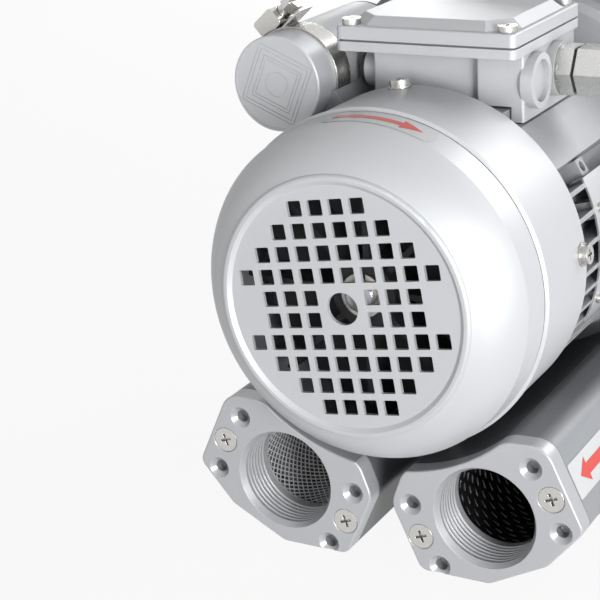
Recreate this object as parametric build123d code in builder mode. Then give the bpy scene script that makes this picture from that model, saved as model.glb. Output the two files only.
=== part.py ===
"""Single-phase side channel blower with two silencer ducts, built as an assembly of separate pieces.

Frame: X runs across the machine, Y runs from the fan end to the impeller end, Z is up.
The origin is the centre of the four foot holes on the mounting plane.
Depths along the shaft are counted from the fan cover's front rim; heights on cross-sections
are counted from the shaft axis.
"""
from build123d import *
import math
import os

os.makedirs("parts", exist_ok=True)

# ---------------------------------------------------------------- driving dimensions (mm)
FOOT_T = 7.8                # foot, under the ducts
DUCT_DROP = 27.6            # port centre down to the underside of a duct
PORT_Z = -87.6              # port centre, from the shaft axis
AXIS_H = FOOT_T + DUCT_DROP - PORT_Z    # shaft axis above the mounting plane
FACE_Y = -172.0             # fan cover front rim, from the centre of the foot holes
FIT_GAP = 0.3               # clearance between separate bodies that only sit near each other
RUN_FIT = 0.05              # radial running clearance
AIR_GAP = 0.4               # rotor to stator, radial
SHEET_T = 1.5               # pressed steel sheet

# fan cover
RIM_R = 50.6
DISH_R = 46.5
DISH_DEPTH = 1.3
SHOULDER_R = 65.3
SHOULDER_Y = 17.7
BAND_END_R = 66.3
BAND_END_Y = 30.4
BEAD_R = 67.5
BEAD_W = 3.4
BEAD_GROOVE = 0.9
COLLAR_R = 66.7
COVER_END_Y = 73.0
COVER_TURN = 6.2            # the cover sits turned on the motor by its screw holes
COVER_SCREWS = 4
COVER_SCREW_Y = 69.0
COVER_SLOT_L = 9.0
COVER_SLOT_W = 4.8
GRILLE_TURN = 8.2
GRILLE_PITCH = 8.5
GRILLE_HOLE = 5.9
GRILLE_ROWS = (4, 6, 8, 10, 8, 8, 10, 8, 6, 4)
GRILLE_EYE_R = 6.2

# fan
FAN_FRONT_Y = 18.0
FAN_BACK_Y = 42.0
FAN_R = 54.0
FAN_HUB_R = 13.0
FAN_PLATE_T = 2.2
FAN_BLADES = 8
FAN_BLADE_T = 2.4
FAN_BLADE_ROOT_Y = 21.0

# shaft
SHAFT_FRONT_Y = 14.0
FAN_SEAT_R = 6.0
FRONT_BEARING = {"bore": 7.5, "outer": 17.5, "width": 11.0, "ball": 2.976, "pitch": 12.5, "balls": 8}
REAR_BEARING = {"bore": 8.5, "outer": 20.0, "width": 12.0, "ball": 3.373, "pitch": 14.25, "balls": 8}
FRONT_BEARING_Y = 58.0
REAR_BEARING_Y = 164.0
SHAFT_CORE_R = 9.5
IMPELLER_SEAT_R = 8.0
CIRCLIP_T = 1.2
CIRCLIP_R = 8.6
CIRCLIP_GROOVE = 0.6
SEAL_W = 6.0
SEAL_R = 14.0
KEY_W = 5.0
KEY_H = 5.0
KEY_L = 18.0
KEY_DEPTH = 2.8

# motor
FRAME_FRONT_Y = 73.5
FRAME_BACK_Y = 160.0
FRAME_BORE_R = 52.0
FRAME_R = 56.5
FIN_TIP_R = 65.4
FIN_T = 1.9
FIN_ANGLES = tuple(24.9 - 9.4 * n for n in range(4)) + tuple(-10.3 - 7.0 * n for n in range(10))
SHIELD_FRONT_Y = 55.0
SHIELD_R = COLLAR_R - SHEET_T
SHIELD_WALL = 4.0
SHIELD_RIM_Y = 61.0
STATOR_FRONT_Y = 90.0
STATOR_BACK_Y = 146.0
STATOR_BORE_R = 32.5
STATOR_SLOTS = 24
SLOT_DEPTH = 11.0
SLOT_W = 4.4
END_TURN_L = 11.0
ROTOR_END_RING_L = 8.0
TIE_BOLT_R = 2.5
TIE_BOLT_CIRCLE = 59.6
TIE_BOLT_ANGLES = (45.0, 135.0, 225.0, 315.0)
TIE_PILLAR_R = 5.6

# terminal box
BOX_HALF_W = 37.7
BOX_FRONT_Y = 75.0
BOX_BACK_Y = 144.0
LID_TOP_Z = 87.6
LID_SEAM_Z = 82.4
FLANGE_Z = 77.8
BOX_SEAT_Z = 57.5
BOX_APRON_Z = 51.6
BOX_WALL = 3.0
BOX_LEFT_X = -28.0
BOX_RIGHT_X = 37.0
BOX_BODY_FRONT_Y = 88.5
BOX_BODY_BACK_Y = 140.0
BOX_PAD_X = 17.6
BOX_PAD_FRONT_Y = 85.0
LID_PANEL_H = 3.4
GASKET_T = 0.8
ENTRY_Z = 66.5
ENTRY_Y = (94.0, 116.0)
ENTRY_BOSS_R = 10.7
ENTRY_BOSS_H = 4.0
ENTRY_RECESS_R = 8.2
ENTRY_BORE_R = 8.0
LID_SCREW_INSET = 5.0
GLAND_HEX_AF = 18.6

# capacitor
CAN_X = -59.0
CAN_Z = 65.4
CAN_R = 19.3
CAN_WALL = 0.8
CAN_FRONT_Y = 64.0
CAN_L = 76.0
BAND_Y = 78.0
BAND_W = 11.0
BAND_T = 0.9
CRADLE_T = 2.5

# ports and silencers
PORT_X = 43.4
PORT_Y = 26.0
THREAD_MINOR_R = 19.475
THREAD_MAJOR_R = 20.955
THREAD_PITCH = 2.309
THREAD_L = 16.0
PORT_L = 20.0
FLANGE_T = 8.0
FLANGE_HOLE_CIRCLE = 30.8
FLANGE_TAPPED_ANGLES = (0.0, 52.0, 180.0, 232.0)
FLANGE_SCREW_CIRCLE = 29.9
FLANGE_SCREW_ANGLES = (26.0, 206.0)
TAPPED_R = 2.5
TAPPED_L = 6.5
CSK_MOUTH_R = 4.6
CSK_HEAD_R = 5.2
MOTOR_CLEAR_R = 74.6
CREST_ROUND = 9.0
DUCT_WALL = 4.0
DUCT_FLOOR = 5.0
TUBE_R = 20.9
TUBE_T = 0.6
PAPER_T = 0.5

# impeller casing
CASING_FACE_Y = 171.0
SPLIT_Y = 202.0
CASING_R = 106.0
CASING_FLANGE_Y = 186.0
COVER_FLANGE_T = 12.0
CASING_RIM_W = 18.0
CASING_SCREW_INSET = 8.0
BULGE_R = CASING_R - CASING_RIM_W
BULGE_ROUND = 5.0
CASING_BACK_Y = 233.0
HUB_MOUNT_R = 68.0
IMPELLER_R = 84.0
IMPELLER_HALF_W = 12.0
IMPELLER_GAP = 0.4
CHANNEL_IN_R = 58.0
CHANNEL_OUT_R = 85.0
CHANNEL_DEPTH = 14.0
CHANNEL_ROUND = 9.0
IMPELLER_VANES = 36
VANE_T = 2.0
STRIPPER_HALF_ANGLE = 13.0
CASING_SCREWS = 9
CASING_SCREW_CIRCLE = CASING_R - CASING_SCREW_INSET
CASING_RIBS = 20
PASSAGE_R = 18.5

# foot
FOOT_SPACING_X = 205.0
FOOT_SPACING_Y = 83.0
FOOT_HOLE_R = 4.6
FOOT_END_PAD = 14.0
FOOT_NOSE_Y = 102.0
FOOT_NOSE_HALF_W = 58.0
FOOT_WALL = 5.0

# fasteners
M4_R, M5_R, M6_R, M8_R = 2.0, 2.5, 3.0, 4.0

# ---------------------------------------------------------------- helpers
SHAFT_AXIS = Axis((0, 0, AXIS_H), (0, 1, 0))
LATHE = Plane(origin=(0, FACE_Y, AXIS_H), x_dir=(0, 1, 0), z_dir=(1, 0, 0))


def station(depth, x=0.0, z=0.0, turn=0.0):
    """Cross-section plane at a depth, seen from the fan end, its X turned up from level by an angle."""
    across, up = polar(1, turn)
    return Plane(origin=(x, FACE_Y + depth, AXIS_H + z), x_dir=(across, 0, up), z_dir=(0, -1, 0))


def level(z, depth=0.0, x=0.0):
    """Horizontal plane at a height from the shaft axis."""
    return Plane(origin=(x, FACE_Y + depth, AXIS_H + z), x_dir=(1, 0, 0), z_dir=(0, 0, 1))


def side(x, depth=0.0, z=0.0):
    """Plane facing +X at a distance from the middle plane."""
    return Plane(origin=(x, FACE_Y + depth, AXIS_H + z), x_dir=(0, 1, 0), z_dir=(1, 0, 0))


def polar(radius, degrees):
    """Point on a cross-section, by radius and angle from +X towards +Z."""
    return (radius * math.cos(math.radians(degrees)), radius * math.sin(math.radians(degrees)))


def meridian(degrees, x=0.0, z=0.0):
    """Plane through an axis along the depth: local X is the depth, local Y the radius at an angle."""
    across, up = polar(1, degrees)
    return Plane(origin=(x, FACE_Y, AXIS_H + z), x_dir=(0, 1, 0), z_dir=(up, 0, -across))


def radial_plane(degrees, depth, radius):
    """Plane facing outwards from the shaft axis at an angle, depth and radius."""
    across, up = polar(1, degrees)
    return Plane(
        origin=(across * radius, FACE_Y + depth, AXIS_H + up * radius),
        x_dir=(0, 1, 0),
        z_dir=(across, 0, up),
    )


def turned(*points, mode=Mode.ADD):
    """Turn a closed outline of (depth, radius) points about the shaft axis."""
    with BuildSketch(LATHE) as outline:
        with BuildLine():
            Polyline(*points, close=True)
        make_face()
    revolve(outline.sketch, axis=SHAFT_AXIS, mode=mode)


def ring(front, back, inner, outer, mode=Mode.ADD):
    """Plain ring about the shaft axis between two depths."""
    turned((front, inner), (back, inner), (back, outer), (front, outer), mode=mode)


def round_bar(front, back, radius, x=0.0, z=0.0, mode=Mode.ADD):
    """Round bar or hole along the depth, centred on a cross-section point."""
    with BuildSketch(station(front, x, z)) as disc:
        Circle(radius)
    extrude(disc.sketch, amount=front - back, mode=mode)


def cone_bar(front, back, front_r, back_r, x=0.0, z=0.0, mode=Mode.ADD):
    """Tapered bar or countersink along the depth."""
    axis = Axis((x, FACE_Y, AXIS_H + z), (0, 1, 0))
    with BuildSketch(meridian(90, x, z)) as outline:
        with BuildLine():
            Polyline((front, 0), (back, 0), (back, back_r), (front, front_r), close=True)
        make_face()
    revolve(outline.sketch, axis=axis, mode=mode)


def hexagon_bar(front, back, across_flats, x=0.0, z=0.0, mode=Mode.ADD):
    """Hexagonal bar along the depth."""
    with BuildSketch(station(front, x, z)) as hexagon:
        RegularPolygon(across_flats / math.sqrt(3), 6)
    extrude(hexagon.sketch, amount=front - back, mode=mode)


def upright(x, depth, bottom, top, radius, mode=Mode.ADD):
    """Round vertical bar or hole between two heights from the shaft axis."""
    with BuildSketch(level(bottom, depth, x)) as disc:
        Circle(radius)
    extrude(disc.sketch, amount=top - bottom, mode=mode)


def block(x, depth, z, mode=Mode.ADD):
    """Rectangular block from (low, high) pairs across, along the depth and upwards."""
    with BuildSketch(level(z[0], (depth[0] + depth[1]) / 2, (x[0] + x[1]) / 2)) as rect:
        Rectangle(x[1] - x[0], depth[1] - depth[0])
    extrude(rect.sketch, amount=z[1] - z[0], mode=mode)


def save(name, builder):
    """Label a finished piece and write its STEP file."""
    builder.part.label = name
    export_step(builder.part, f"parts/{name}.step")


# ---------------------------------------------------------------- fan cover
RIM_ROUND = 1.4

with BuildPart() as fan_cover:
    with BuildSketch(LATHE):
        with BuildLine():
            Polyline((DISH_DEPTH, 0), (DISH_DEPTH, DISH_R), (0, DISH_R + 1.6), (0, RIM_R - RIM_ROUND))
            ThreePointArc((0, RIM_R - RIM_ROUND), (0.45, RIM_R - 0.45), (RIM_ROUND, RIM_R))
            ThreePointArc((RIM_ROUND, RIM_R), (SHOULDER_Y * 0.48, SHOULDER_R - 5.6), (SHOULDER_Y, SHOULDER_R))
            bead_start = BAND_END_Y + BEAD_GROOVE
            bead_end = bead_start + BEAD_W
            Polyline(
                (SHOULDER_Y, SHOULDER_R),
                (BAND_END_Y, BAND_END_R),
                (BAND_END_Y + BEAD_GROOVE / 2, BAND_END_R - BEAD_GROOVE / 2),
                (bead_start, BAND_END_R),
                (bead_start + 0.7, BEAD_R),
                (bead_end - 0.7, BEAD_R),
                (bead_end, COLLAR_R - BEAD_GROOVE / 2),
                (bead_end + BEAD_GROOVE, COLLAR_R),
                (COVER_END_Y, COLLAR_R),
                (COVER_END_Y, COLLAR_R - SHEET_T),
                (bead_end + BEAD_GROOVE, COLLAR_R - SHEET_T),
                (BAND_END_Y, BAND_END_R - SHEET_T - BEAD_GROOVE / 2),
                (SHOULDER_Y + 0.6, SHOULDER_R - SHEET_T),
            )
            ThreePointArc(
                (SHOULDER_Y + 0.6, SHOULDER_R - SHEET_T),
                (SHOULDER_Y * 0.48 + 1.1, SHOULDER_R - 5.6 - SHEET_T * 0.72),
                (RIM_ROUND + SHEET_T * 0.5, RIM_R - SHEET_T),
            )
            Polyline(
                (RIM_ROUND + SHEET_T * 0.5, RIM_R - SHEET_T),
                (SHEET_T, RIM_R - SHEET_T),
                (SHEET_T, DISH_R + 1.6),
                (DISH_DEPTH + SHEET_T, DISH_R - 0.4),
                (DISH_DEPTH + SHEET_T, 0),
                (DISH_DEPTH, 0),
            )
        make_face()
    revolve(axis=SHAFT_AXIS)
    middle = (len(GRILLE_ROWS) - 1) / 2
    with BuildSketch(station(-1.0, turn=GRILLE_TURN)):
        Circle(GRILLE_EYE_R)
        for row, count in enumerate(GRILLE_ROWS):
            height = (middle - row) * GRILLE_PITCH
            places = [((n - (count - 1) / 2) * GRILLE_PITCH, height) for n in range(count)]
            kept = [p for p in places if math.hypot(*p) > GRILLE_PITCH]
            with Locations(*kept):
                RectangleRounded(GRILLE_HOLE, GRILLE_HOLE, 0.5)
    extrude(amount=-(DISH_DEPTH + SHEET_T + 2.0), mode=Mode.SUBTRACT)
    for n in range(COVER_SCREWS):
        with BuildSketch(radial_plane(COVER_TURN + n * 90, COVER_SCREW_Y, SHIELD_R - 1.0)):
            SlotOverall(COVER_SLOT_L, COVER_SLOT_W, rotation=90)
        extrude(amount=5.0, mode=Mode.SUBTRACT)
save("fan_cover", fan_cover)


WASHER_T = 0.8
WASHER_R = 4.6
SHIELD_SCREW_L = 6.0
HEAD_H = 2.4
SCREW_SEAT_R = COLLAR_R + 0.05

with BuildPart() as fan_cover_screws:
    for n in range(COVER_SCREWS):
        with BuildSketch(radial_plane(COVER_TURN + n * 90, COVER_SCREW_Y, SCREW_SEAT_R)):
            Circle(WASHER_R)
        extrude(amount=WASHER_T)
        head_plane = radial_plane(COVER_TURN + n * 90, COVER_SCREW_Y, SCREW_SEAT_R + WASHER_T)
        with BuildSketch(head_plane):
            Circle(3.8)
        extrude(amount=HEAD_H)
        with BuildSketch(head_plane):
            Circle(M4_R)
        extrude(amount=-(SCREW_SEAT_R + WASHER_T - SHIELD_R + SHIELD_SCREW_L))
        with BuildSketch(head_plane.offset(HEAD_H - 1.2)):
            Rectangle(0.9, 4.4)
            Rectangle(4.4, 0.9)
        extrude(amount=2.0, mode=Mode.SUBTRACT)
save("fan_cover_screws", fan_cover_screws)

# ---------------------------------------------------------------- cooling fan
with BuildPart() as cooling_fan:
    ring(FAN_FRONT_Y, FAN_BACK_Y, FAN_SEAT_R, FAN_HUB_R)
    turned(
        (FAN_BACK_Y - FAN_PLATE_T, FAN_HUB_R - 1),
        (FAN_BACK_Y, FAN_HUB_R - 1),
        (FAN_BACK_Y, FAN_R),
        (FAN_BACK_Y - FAN_PLATE_T, FAN_R),
    )
    for n in range(FAN_BLADES):
        with BuildSketch(meridian(360 / FAN_BLADES * n)):
            with BuildLine():
                Polyline(
                    (FAN_FRONT_Y + 3.0, FAN_HUB_R - 1),
                    (FAN_BACK_Y - FAN_PLATE_T / 2, FAN_HUB_R - 1),
                    (FAN_BACK_Y - FAN_PLATE_T / 2, FAN_R),
                    (FAN_BLADE_ROOT_Y + 5.0, FAN_R),
                    (FAN_BLADE_ROOT_Y, FAN_R - 9.0),
                    close=True,
                )
            make_face()
        extrude(amount=FAN_BLADE_T / 2, both=True)
save("cooling_fan", cooling_fan)

GROOVE_Y = FAN_FRONT_Y - CIRCLIP_T - 0.1

with BuildPart() as fan_circlip:
    ring(GROOVE_Y, GROOVE_Y + CIRCLIP_T, FAN_SEAT_R - CIRCLIP_GROOVE, CIRCLIP_R)
    block((-1.6, 1.6), (GROOVE_Y - 1, GROOVE_Y + 3), (0, CIRCLIP_R + 1), mode=Mode.SUBTRACT)
save("fan_circlip", fan_circlip)

# ---------------------------------------------------------------- bearings
BEARING_CLEAR = 0.04
CAGE_GAP = 0.25
CAGE_EDGE = 0.9


def bearing_groove(spec, front):
    """Ball track cut in a bearing ring."""
    with BuildSketch(LATHE) as track:
        with Locations((front + spec["width"] / 2, spec["pitch"])):
            Circle(spec["ball"] + BEARING_CLEAR)
    revolve(track.sketch, axis=SHAFT_AXIS, mode=Mode.SUBTRACT)


for bearing_name, spec, start in (
    ("front_bearing", FRONT_BEARING, FRONT_BEARING_Y),
    ("rear_bearing", REAR_BEARING, REAR_BEARING_Y),
):
    end = start + spec["width"]
    shoulder = spec["ball"] * 0.62
    with BuildPart() as outer_ring:
        ring(start, end, spec["pitch"] + shoulder, spec["outer"])
        bearing_groove(spec, start)
    save(bearing_name + "_outer_ring", outer_ring)
    with BuildPart() as inner_ring:
        ring(start, end, spec["bore"], spec["pitch"] - shoulder)
        bearing_groove(spec, start)
    save(bearing_name + "_inner_ring", inner_ring)
    with BuildPart() as cage:
        half = spec["ball"] + CAGE_EDGE
        mid = start + spec["width"] / 2
        ring(mid - half, mid + half, spec["pitch"] - shoulder + CAGE_GAP, spec["pitch"] + shoulder - CAGE_GAP)
        for n in range(spec["balls"]):
            with BuildSketch(radial_plane(360 / spec["balls"] * n, mid, spec["pitch"] - spec["ball"])):
                Circle(spec["ball"] + BEARING_CLEAR)
            extrude(amount=2 * spec["ball"], mode=Mode.SUBTRACT)
        for n in range(spec["balls"]):
            across, up = polar(spec["pitch"], 360 / spec["balls"] * n)
            with Locations((across, FACE_Y + mid, AXIS_H + up)):
                Sphere(spec["ball"])
    save(bearing_name + "_balls", cage)

WAVE_T = 1.0
SEAT_Y = FRONT_BEARING_Y - WAVE_T

with BuildPart() as wave_washer:
    ring(SEAT_Y, FRONT_BEARING_Y, FRONT_BEARING["outer"] - 3.4, FRONT_BEARING["outer"] - 0.4)
save("wave_washer", wave_washer)

# ---------------------------------------------------------------- rotor
SHAFT_BACK_Y = SPLIT_Y + 10.0
HUB_FRONT_Y = 187.0
HUB_BACK_Y = SPLIT_Y + 12.0
IMPELLER_HUB_R = 17.0
WEB_HALF_T = 3.0
RIM_IN_R = CHANNEL_IN_R - 3.0
KEY_Y = (HUB_FRONT_Y + 3.0, HUB_FRONT_Y + 3.0 + KEY_L)
BOLT_SHANK_L = 24.0
CENTRE_BORE_R = M8_R + RUN_FIT

with BuildPart() as motor_shaft:
    front_seat = FRONT_BEARING_Y - 1.5
    front_step = FRONT_BEARING_Y + FRONT_BEARING["width"]
    rear_end = REAR_BEARING_Y + REAR_BEARING["width"]
    turned(
        (SHAFT_FRONT_Y, 0),
        (SHAFT_FRONT_Y, FAN_SEAT_R - 0.8),
        (SHAFT_FRONT_Y + 0.8, FAN_SEAT_R),
        (front_seat, FAN_SEAT_R),
        (front_seat, FRONT_BEARING["bore"]),
        (front_step, FRONT_BEARING["bore"]),
        (front_step, SHAFT_CORE_R),
        (REAR_BEARING_Y, SHAFT_CORE_R),
        (REAR_BEARING_Y, REAR_BEARING["bore"]),
        (rear_end, REAR_BEARING["bore"]),
        (rear_end, IMPELLER_SEAT_R),
        (SHAFT_BACK_Y, IMPELLER_SEAT_R),
        (SHAFT_BACK_Y, 0),
    )
    ring(GROOVE_Y, GROOVE_Y + CIRCLIP_T, FAN_SEAT_R - CIRCLIP_GROOVE, FAN_SEAT_R + 1, mode=Mode.SUBTRACT)
    round_bar(SHAFT_BACK_Y - BOLT_SHANK_L, SHAFT_BACK_Y, CENTRE_BORE_R, mode=Mode.SUBTRACT)
    key_floor = IMPELLER_SEAT_R - KEY_DEPTH
    block((-KEY_W / 2, KEY_W / 2), KEY_Y, (key_floor, key_floor + KEY_H), mode=Mode.SUBTRACT)
save("motor_shaft", motor_shaft)

with BuildPart() as shaft_key:
    block((-KEY_W / 2, KEY_W / 2), KEY_Y, (key_floor, key_floor + KEY_H))
save("shaft_key", shaft_key)

ROTOR_R = STATOR_BORE_R - AIR_GAP

with BuildPart() as rotor_core:
    ring(STATOR_FRONT_Y, STATOR_BACK_Y, SHAFT_CORE_R, ROTOR_R)
    for end_y, direction in ((STATOR_FRONT_Y, -1), (STATOR_BACK_Y, 1)):
        ring(*sorted((end_y, end_y + direction * 4.0)), 19.0, ROTOR_R - 2.5)
        paddle = sorted((end_y, end_y + direction * ROTOR_END_RING_L))
        for n in range(8):
            with BuildSketch(meridian(45 * n + 10)) as vane:
                with Locations((sum(paddle) / 2, 25.0)):
                    Rectangle(paddle[1] - paddle[0], 6.0)
            extrude(vane.sketch, amount=1.2, both=True)
save("rotor_core", rotor_core)

with BuildPart() as impeller:
    ring(HUB_FRONT_Y, HUB_BACK_Y, IMPELLER_SEAT_R, IMPELLER_HUB_R)
    ring(SPLIT_Y - WEB_HALF_T, SPLIT_Y + WEB_HALF_T, IMPELLER_HUB_R - 1, IMPELLER_R)
    rim_half = IMPELLER_HALF_W - IMPELLER_GAP
    ring(SPLIT_Y - rim_half, SPLIT_Y + rim_half, RIM_IN_R - 3.0, CHANNEL_IN_R)
    for n in range(IMPELLER_VANES):
        with BuildSketch(meridian(360 / IMPELLER_VANES * n)) as vane:
            with Locations((SPLIT_Y, (CHANNEL_IN_R - 1 + IMPELLER_R) / 2)):
                Rectangle(2 * rim_half, IMPELLER_R - CHANNEL_IN_R + 1)
        extrude(vane.sketch, amount=VANE_T / 2, both=True)
    hub_through = (HUB_FRONT_Y - 1, HUB_BACK_Y + 1)
    block((-KEY_W / 2, KEY_W / 2), hub_through, (0, key_floor + KEY_H), mode=Mode.SUBTRACT)
save("impeller", impeller)

WASHER_BIG_R = 12.5
WASHER_BIG_T = 2.5
BOLT_HEAD_Y = HUB_BACK_Y + WASHER_BIG_T
BOLT_HEAD_H = 5.3

with BuildPart() as impeller_bolt:
    round_bar(HUB_BACK_Y, BOLT_HEAD_Y, WASHER_BIG_R)
    hexagon_bar(BOLT_HEAD_Y, BOLT_HEAD_Y + BOLT_HEAD_H, 13.0)
    round_bar(SHAFT_BACK_Y - BOLT_SHANK_L + 3.0, BOLT_HEAD_Y, M8_R)
save("impeller_bolt", impeller_bolt)

# ---------------------------------------------------------------- stator
with BuildPart() as stator_core:
    ring(STATOR_FRONT_Y, STATOR_BACK_Y, STATOR_BORE_R, FRAME_BORE_R)
    slot_in = STATOR_BORE_R + 2.0
    with BuildSketch(station(STATOR_FRONT_Y)) as slots:
        with PolarLocations(0, STATOR_SLOTS):
            with Locations((slot_in + SLOT_DEPTH / 2, 0)):
                RectangleRounded(SLOT_DEPTH, SLOT_W, 1.2)
            with Locations((slot_in - 1.0, 0)):
                Rectangle(4.4, 1.8)
    extrude(slots.sketch, amount=STATOR_FRONT_Y - STATOR_BACK_Y, mode=Mode.SUBTRACT)
save("stator_core", stator_core)

with BuildPart() as stator_winding:
    for end_y, direction in ((STATOR_FRONT_Y, -1), (STATOR_BACK_Y, 1)):
        inner_y, outer_y = sorted((end_y + direction * FIT_GAP, end_y + direction * END_TURN_L))
        with BuildSketch(LATHE) as turns:
            with Locations(((inner_y + outer_y) / 2, slot_in + 7.5)):
                RectangleRounded(outer_y - inner_y, 15.0, 3.5)
        revolve(turns.sketch, axis=SHAFT_AXIS)
    with BuildSketch(station(STATOR_FRONT_Y - 1)) as bars:
        with PolarLocations(0, STATOR_SLOTS):
            with Locations((slot_in + SLOT_DEPTH / 2, 0)):
                RectangleRounded(SLOT_DEPTH - 0.6, SLOT_W - 0.6, 0.9)
    extrude(bars.sketch, amount=STATOR_FRONT_Y - STATOR_BACK_Y - 2)
save("stator_winding", stator_winding)

# ---------------------------------------------------------------- motor frame
PAD_Z = BOX_SEAT_Z - GASKET_T
PAD_HALF_W = 31.0
SHOULDER_LEDGE = (38.0, BOX_APRON_Z - 0.4)
SHOULDER_TIP = polar(FIN_TIP_R + 0.6, 34.7)
SHOULDER_ROOT = (44.0, 27.0)
LUG_ANGLES = (15.5, -17.3)
PLATE_Y = (90.0, 142.0)
LUG_Y = (PLATE_Y[0] + 6.5, PLATE_Y[1] - 6.5)
LUG_W = 7.0
LUG_DROP = 0.15
LUG_FIN_ANGLE = 30.5
RIVET_R = 1.1
BOX_SCREWS = [(x, y) for x in (-18.0, 26.0) for y in (97.0, 132.0)]
BOX_SCREW_L = 6.0
TIE_HOLE_R = TIE_BOLT_R + 0.3

CRADLE_Y = (FRAME_FRONT_Y + 1.5, 124.0)
CRADLE_HALF_W = 13.0
CRADLE_H = 9.0
CRADLE_SCREW_Y = (98.0, 118.0)
CRADLE_SCREW_X = 1.0
CRADLE_SCREW_L = 6.0
CRADLE_SEAT = 2.0
PAN_HEAD_R = 3.7
shoulder_run = SHOULDER_TIP[0] - SHOULDER_LEDGE[0]
shoulder_drop = SHOULDER_LEDGE[1] - SHOULDER_TIP[1]
SHOULDER_SLOPE = math.degrees(math.atan2(shoulder_drop, shoulder_run))
SHOULDER_UP = polar(1, 90 - SHOULDER_SLOPE)
SHOULDER_H = SHOULDER_LEDGE[0] * SHOULDER_UP[0] + SHOULDER_LEDGE[1] * SHOULDER_UP[1]
CAN_H = -CAN_X * SHOULDER_UP[0] + CAN_Z * SHOULDER_UP[1] - SHOULDER_H
CAN_SHIFT = CAN_X * SHOULDER_UP[1] + CAN_Z * SHOULDER_UP[0]


def shoulder_plane(depth):
    """Cross-section plane on the frame's left shoulder: local X along it, local Y out of it."""
    return station(depth, *polar(SHOULDER_H, 90 + SHOULDER_SLOPE), SHOULDER_SLOPE)


def shoulder_normal_plane(depth, across, lift):
    """Plane parallel to the left shoulder's face, for the cradle screws."""
    base = shoulder_plane(depth)
    return Plane(origin=base.from_local_coords((across, lift, 0)), x_dir=(0, 1, 0), z_dir=base.y_dir)


with BuildPart() as motor_frame:
    with BuildSketch(station(FRAME_FRONT_Y)):
        Circle(FRAME_R)
        for turn in (1, -1):
            with BuildLine():
                Polyline(
                    (0, PAD_Z),
                    (turn * PAD_HALF_W, PAD_Z),
                    (turn * PAD_HALF_W, SHOULDER_LEDGE[1]),
                    (turn * SHOULDER_LEDGE[0], SHOULDER_LEDGE[1]),
                    (turn * SHOULDER_TIP[0], SHOULDER_TIP[1]),
                    (turn * SHOULDER_ROOT[0], SHOULDER_ROOT[1]),
                    (0, SHOULDER_ROOT[1]),
                    close=True,
                )
            make_face()
        fin_middle_r = (FRAME_R - 2 + FIN_TIP_R) / 2
        for angle in FIN_ANGLES:
            for seen in (angle, 180 - angle):
                with Locations(Location((*polar(fin_middle_r, seen), 0), (0, 0, seen))):
                    Rectangle(FIN_TIP_R - FRAME_R + 2, FIN_T)
        with Locations(*[polar(TIE_BOLT_CIRCLE, a) for a in TIE_BOLT_ANGLES[2:]]):
            Circle(TIE_PILLAR_R)
    extrude(amount=FRAME_FRONT_Y - FRAME_BACK_Y)
    for angle in LUG_ANGLES:
        for depth in LUG_Y:
            with BuildSketch(radial_plane(angle, depth, FRAME_R - 2)):
                Rectangle(LUG_W, LUG_W)
            extrude(amount=FIN_TIP_R - FRAME_R + 2 - LUG_DROP)
    with BuildSketch(radial_plane(LUG_FIN_ANGLE, LUG_Y[0] + 2.0, FRAME_R - 2)):
        Rectangle(LUG_W, LUG_W)
    extrude(amount=FIN_TIP_R - FRAME_R + 1.0)
    with BuildSketch(radial_plane(LUG_FIN_ANGLE, LUG_Y[0] + 2.0, FRAME_R - 1)):
        Circle(2.1)
    extrude(amount=FIN_TIP_R - FRAME_R + 4.0, mode=Mode.SUBTRACT)
    round_bar(FRAME_FRONT_Y, FRAME_BACK_Y, FRAME_BORE_R, mode=Mode.SUBTRACT)
    for angle in TIE_BOLT_ANGLES:
        round_bar(FRAME_FRONT_Y, FRAME_BACK_Y, TIE_HOLE_R, *polar(TIE_BOLT_CIRCLE, angle), mode=Mode.SUBTRACT)
    for angle in LUG_ANGLES:
        for depth in LUG_Y:
            with BuildSketch(radial_plane(angle, depth, FIN_TIP_R - 5.0)):
                Circle(RIVET_R)
            extrude(amount=8.0, mode=Mode.SUBTRACT)
    for across, depth in BOX_SCREWS:
        upright(across, depth, PAD_Z - BOX_SCREW_L, PAD_Z, M4_R, mode=Mode.SUBTRACT)
    for depth in CRADLE_SCREW_Y:
        with BuildSketch(shoulder_normal_plane(depth, CRADLE_SCREW_X, 1)):
            Circle(M4_R)
        extrude(amount=-CRADLE_SCREW_L - 1.5, mode=Mode.SUBTRACT)
save("motor_frame", motor_frame)

SHIELD_HUB_R = FRONT_BEARING["outer"] + 4.5
SPIGOT_L = 3.5
SPIGOT_T = 3.5

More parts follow.
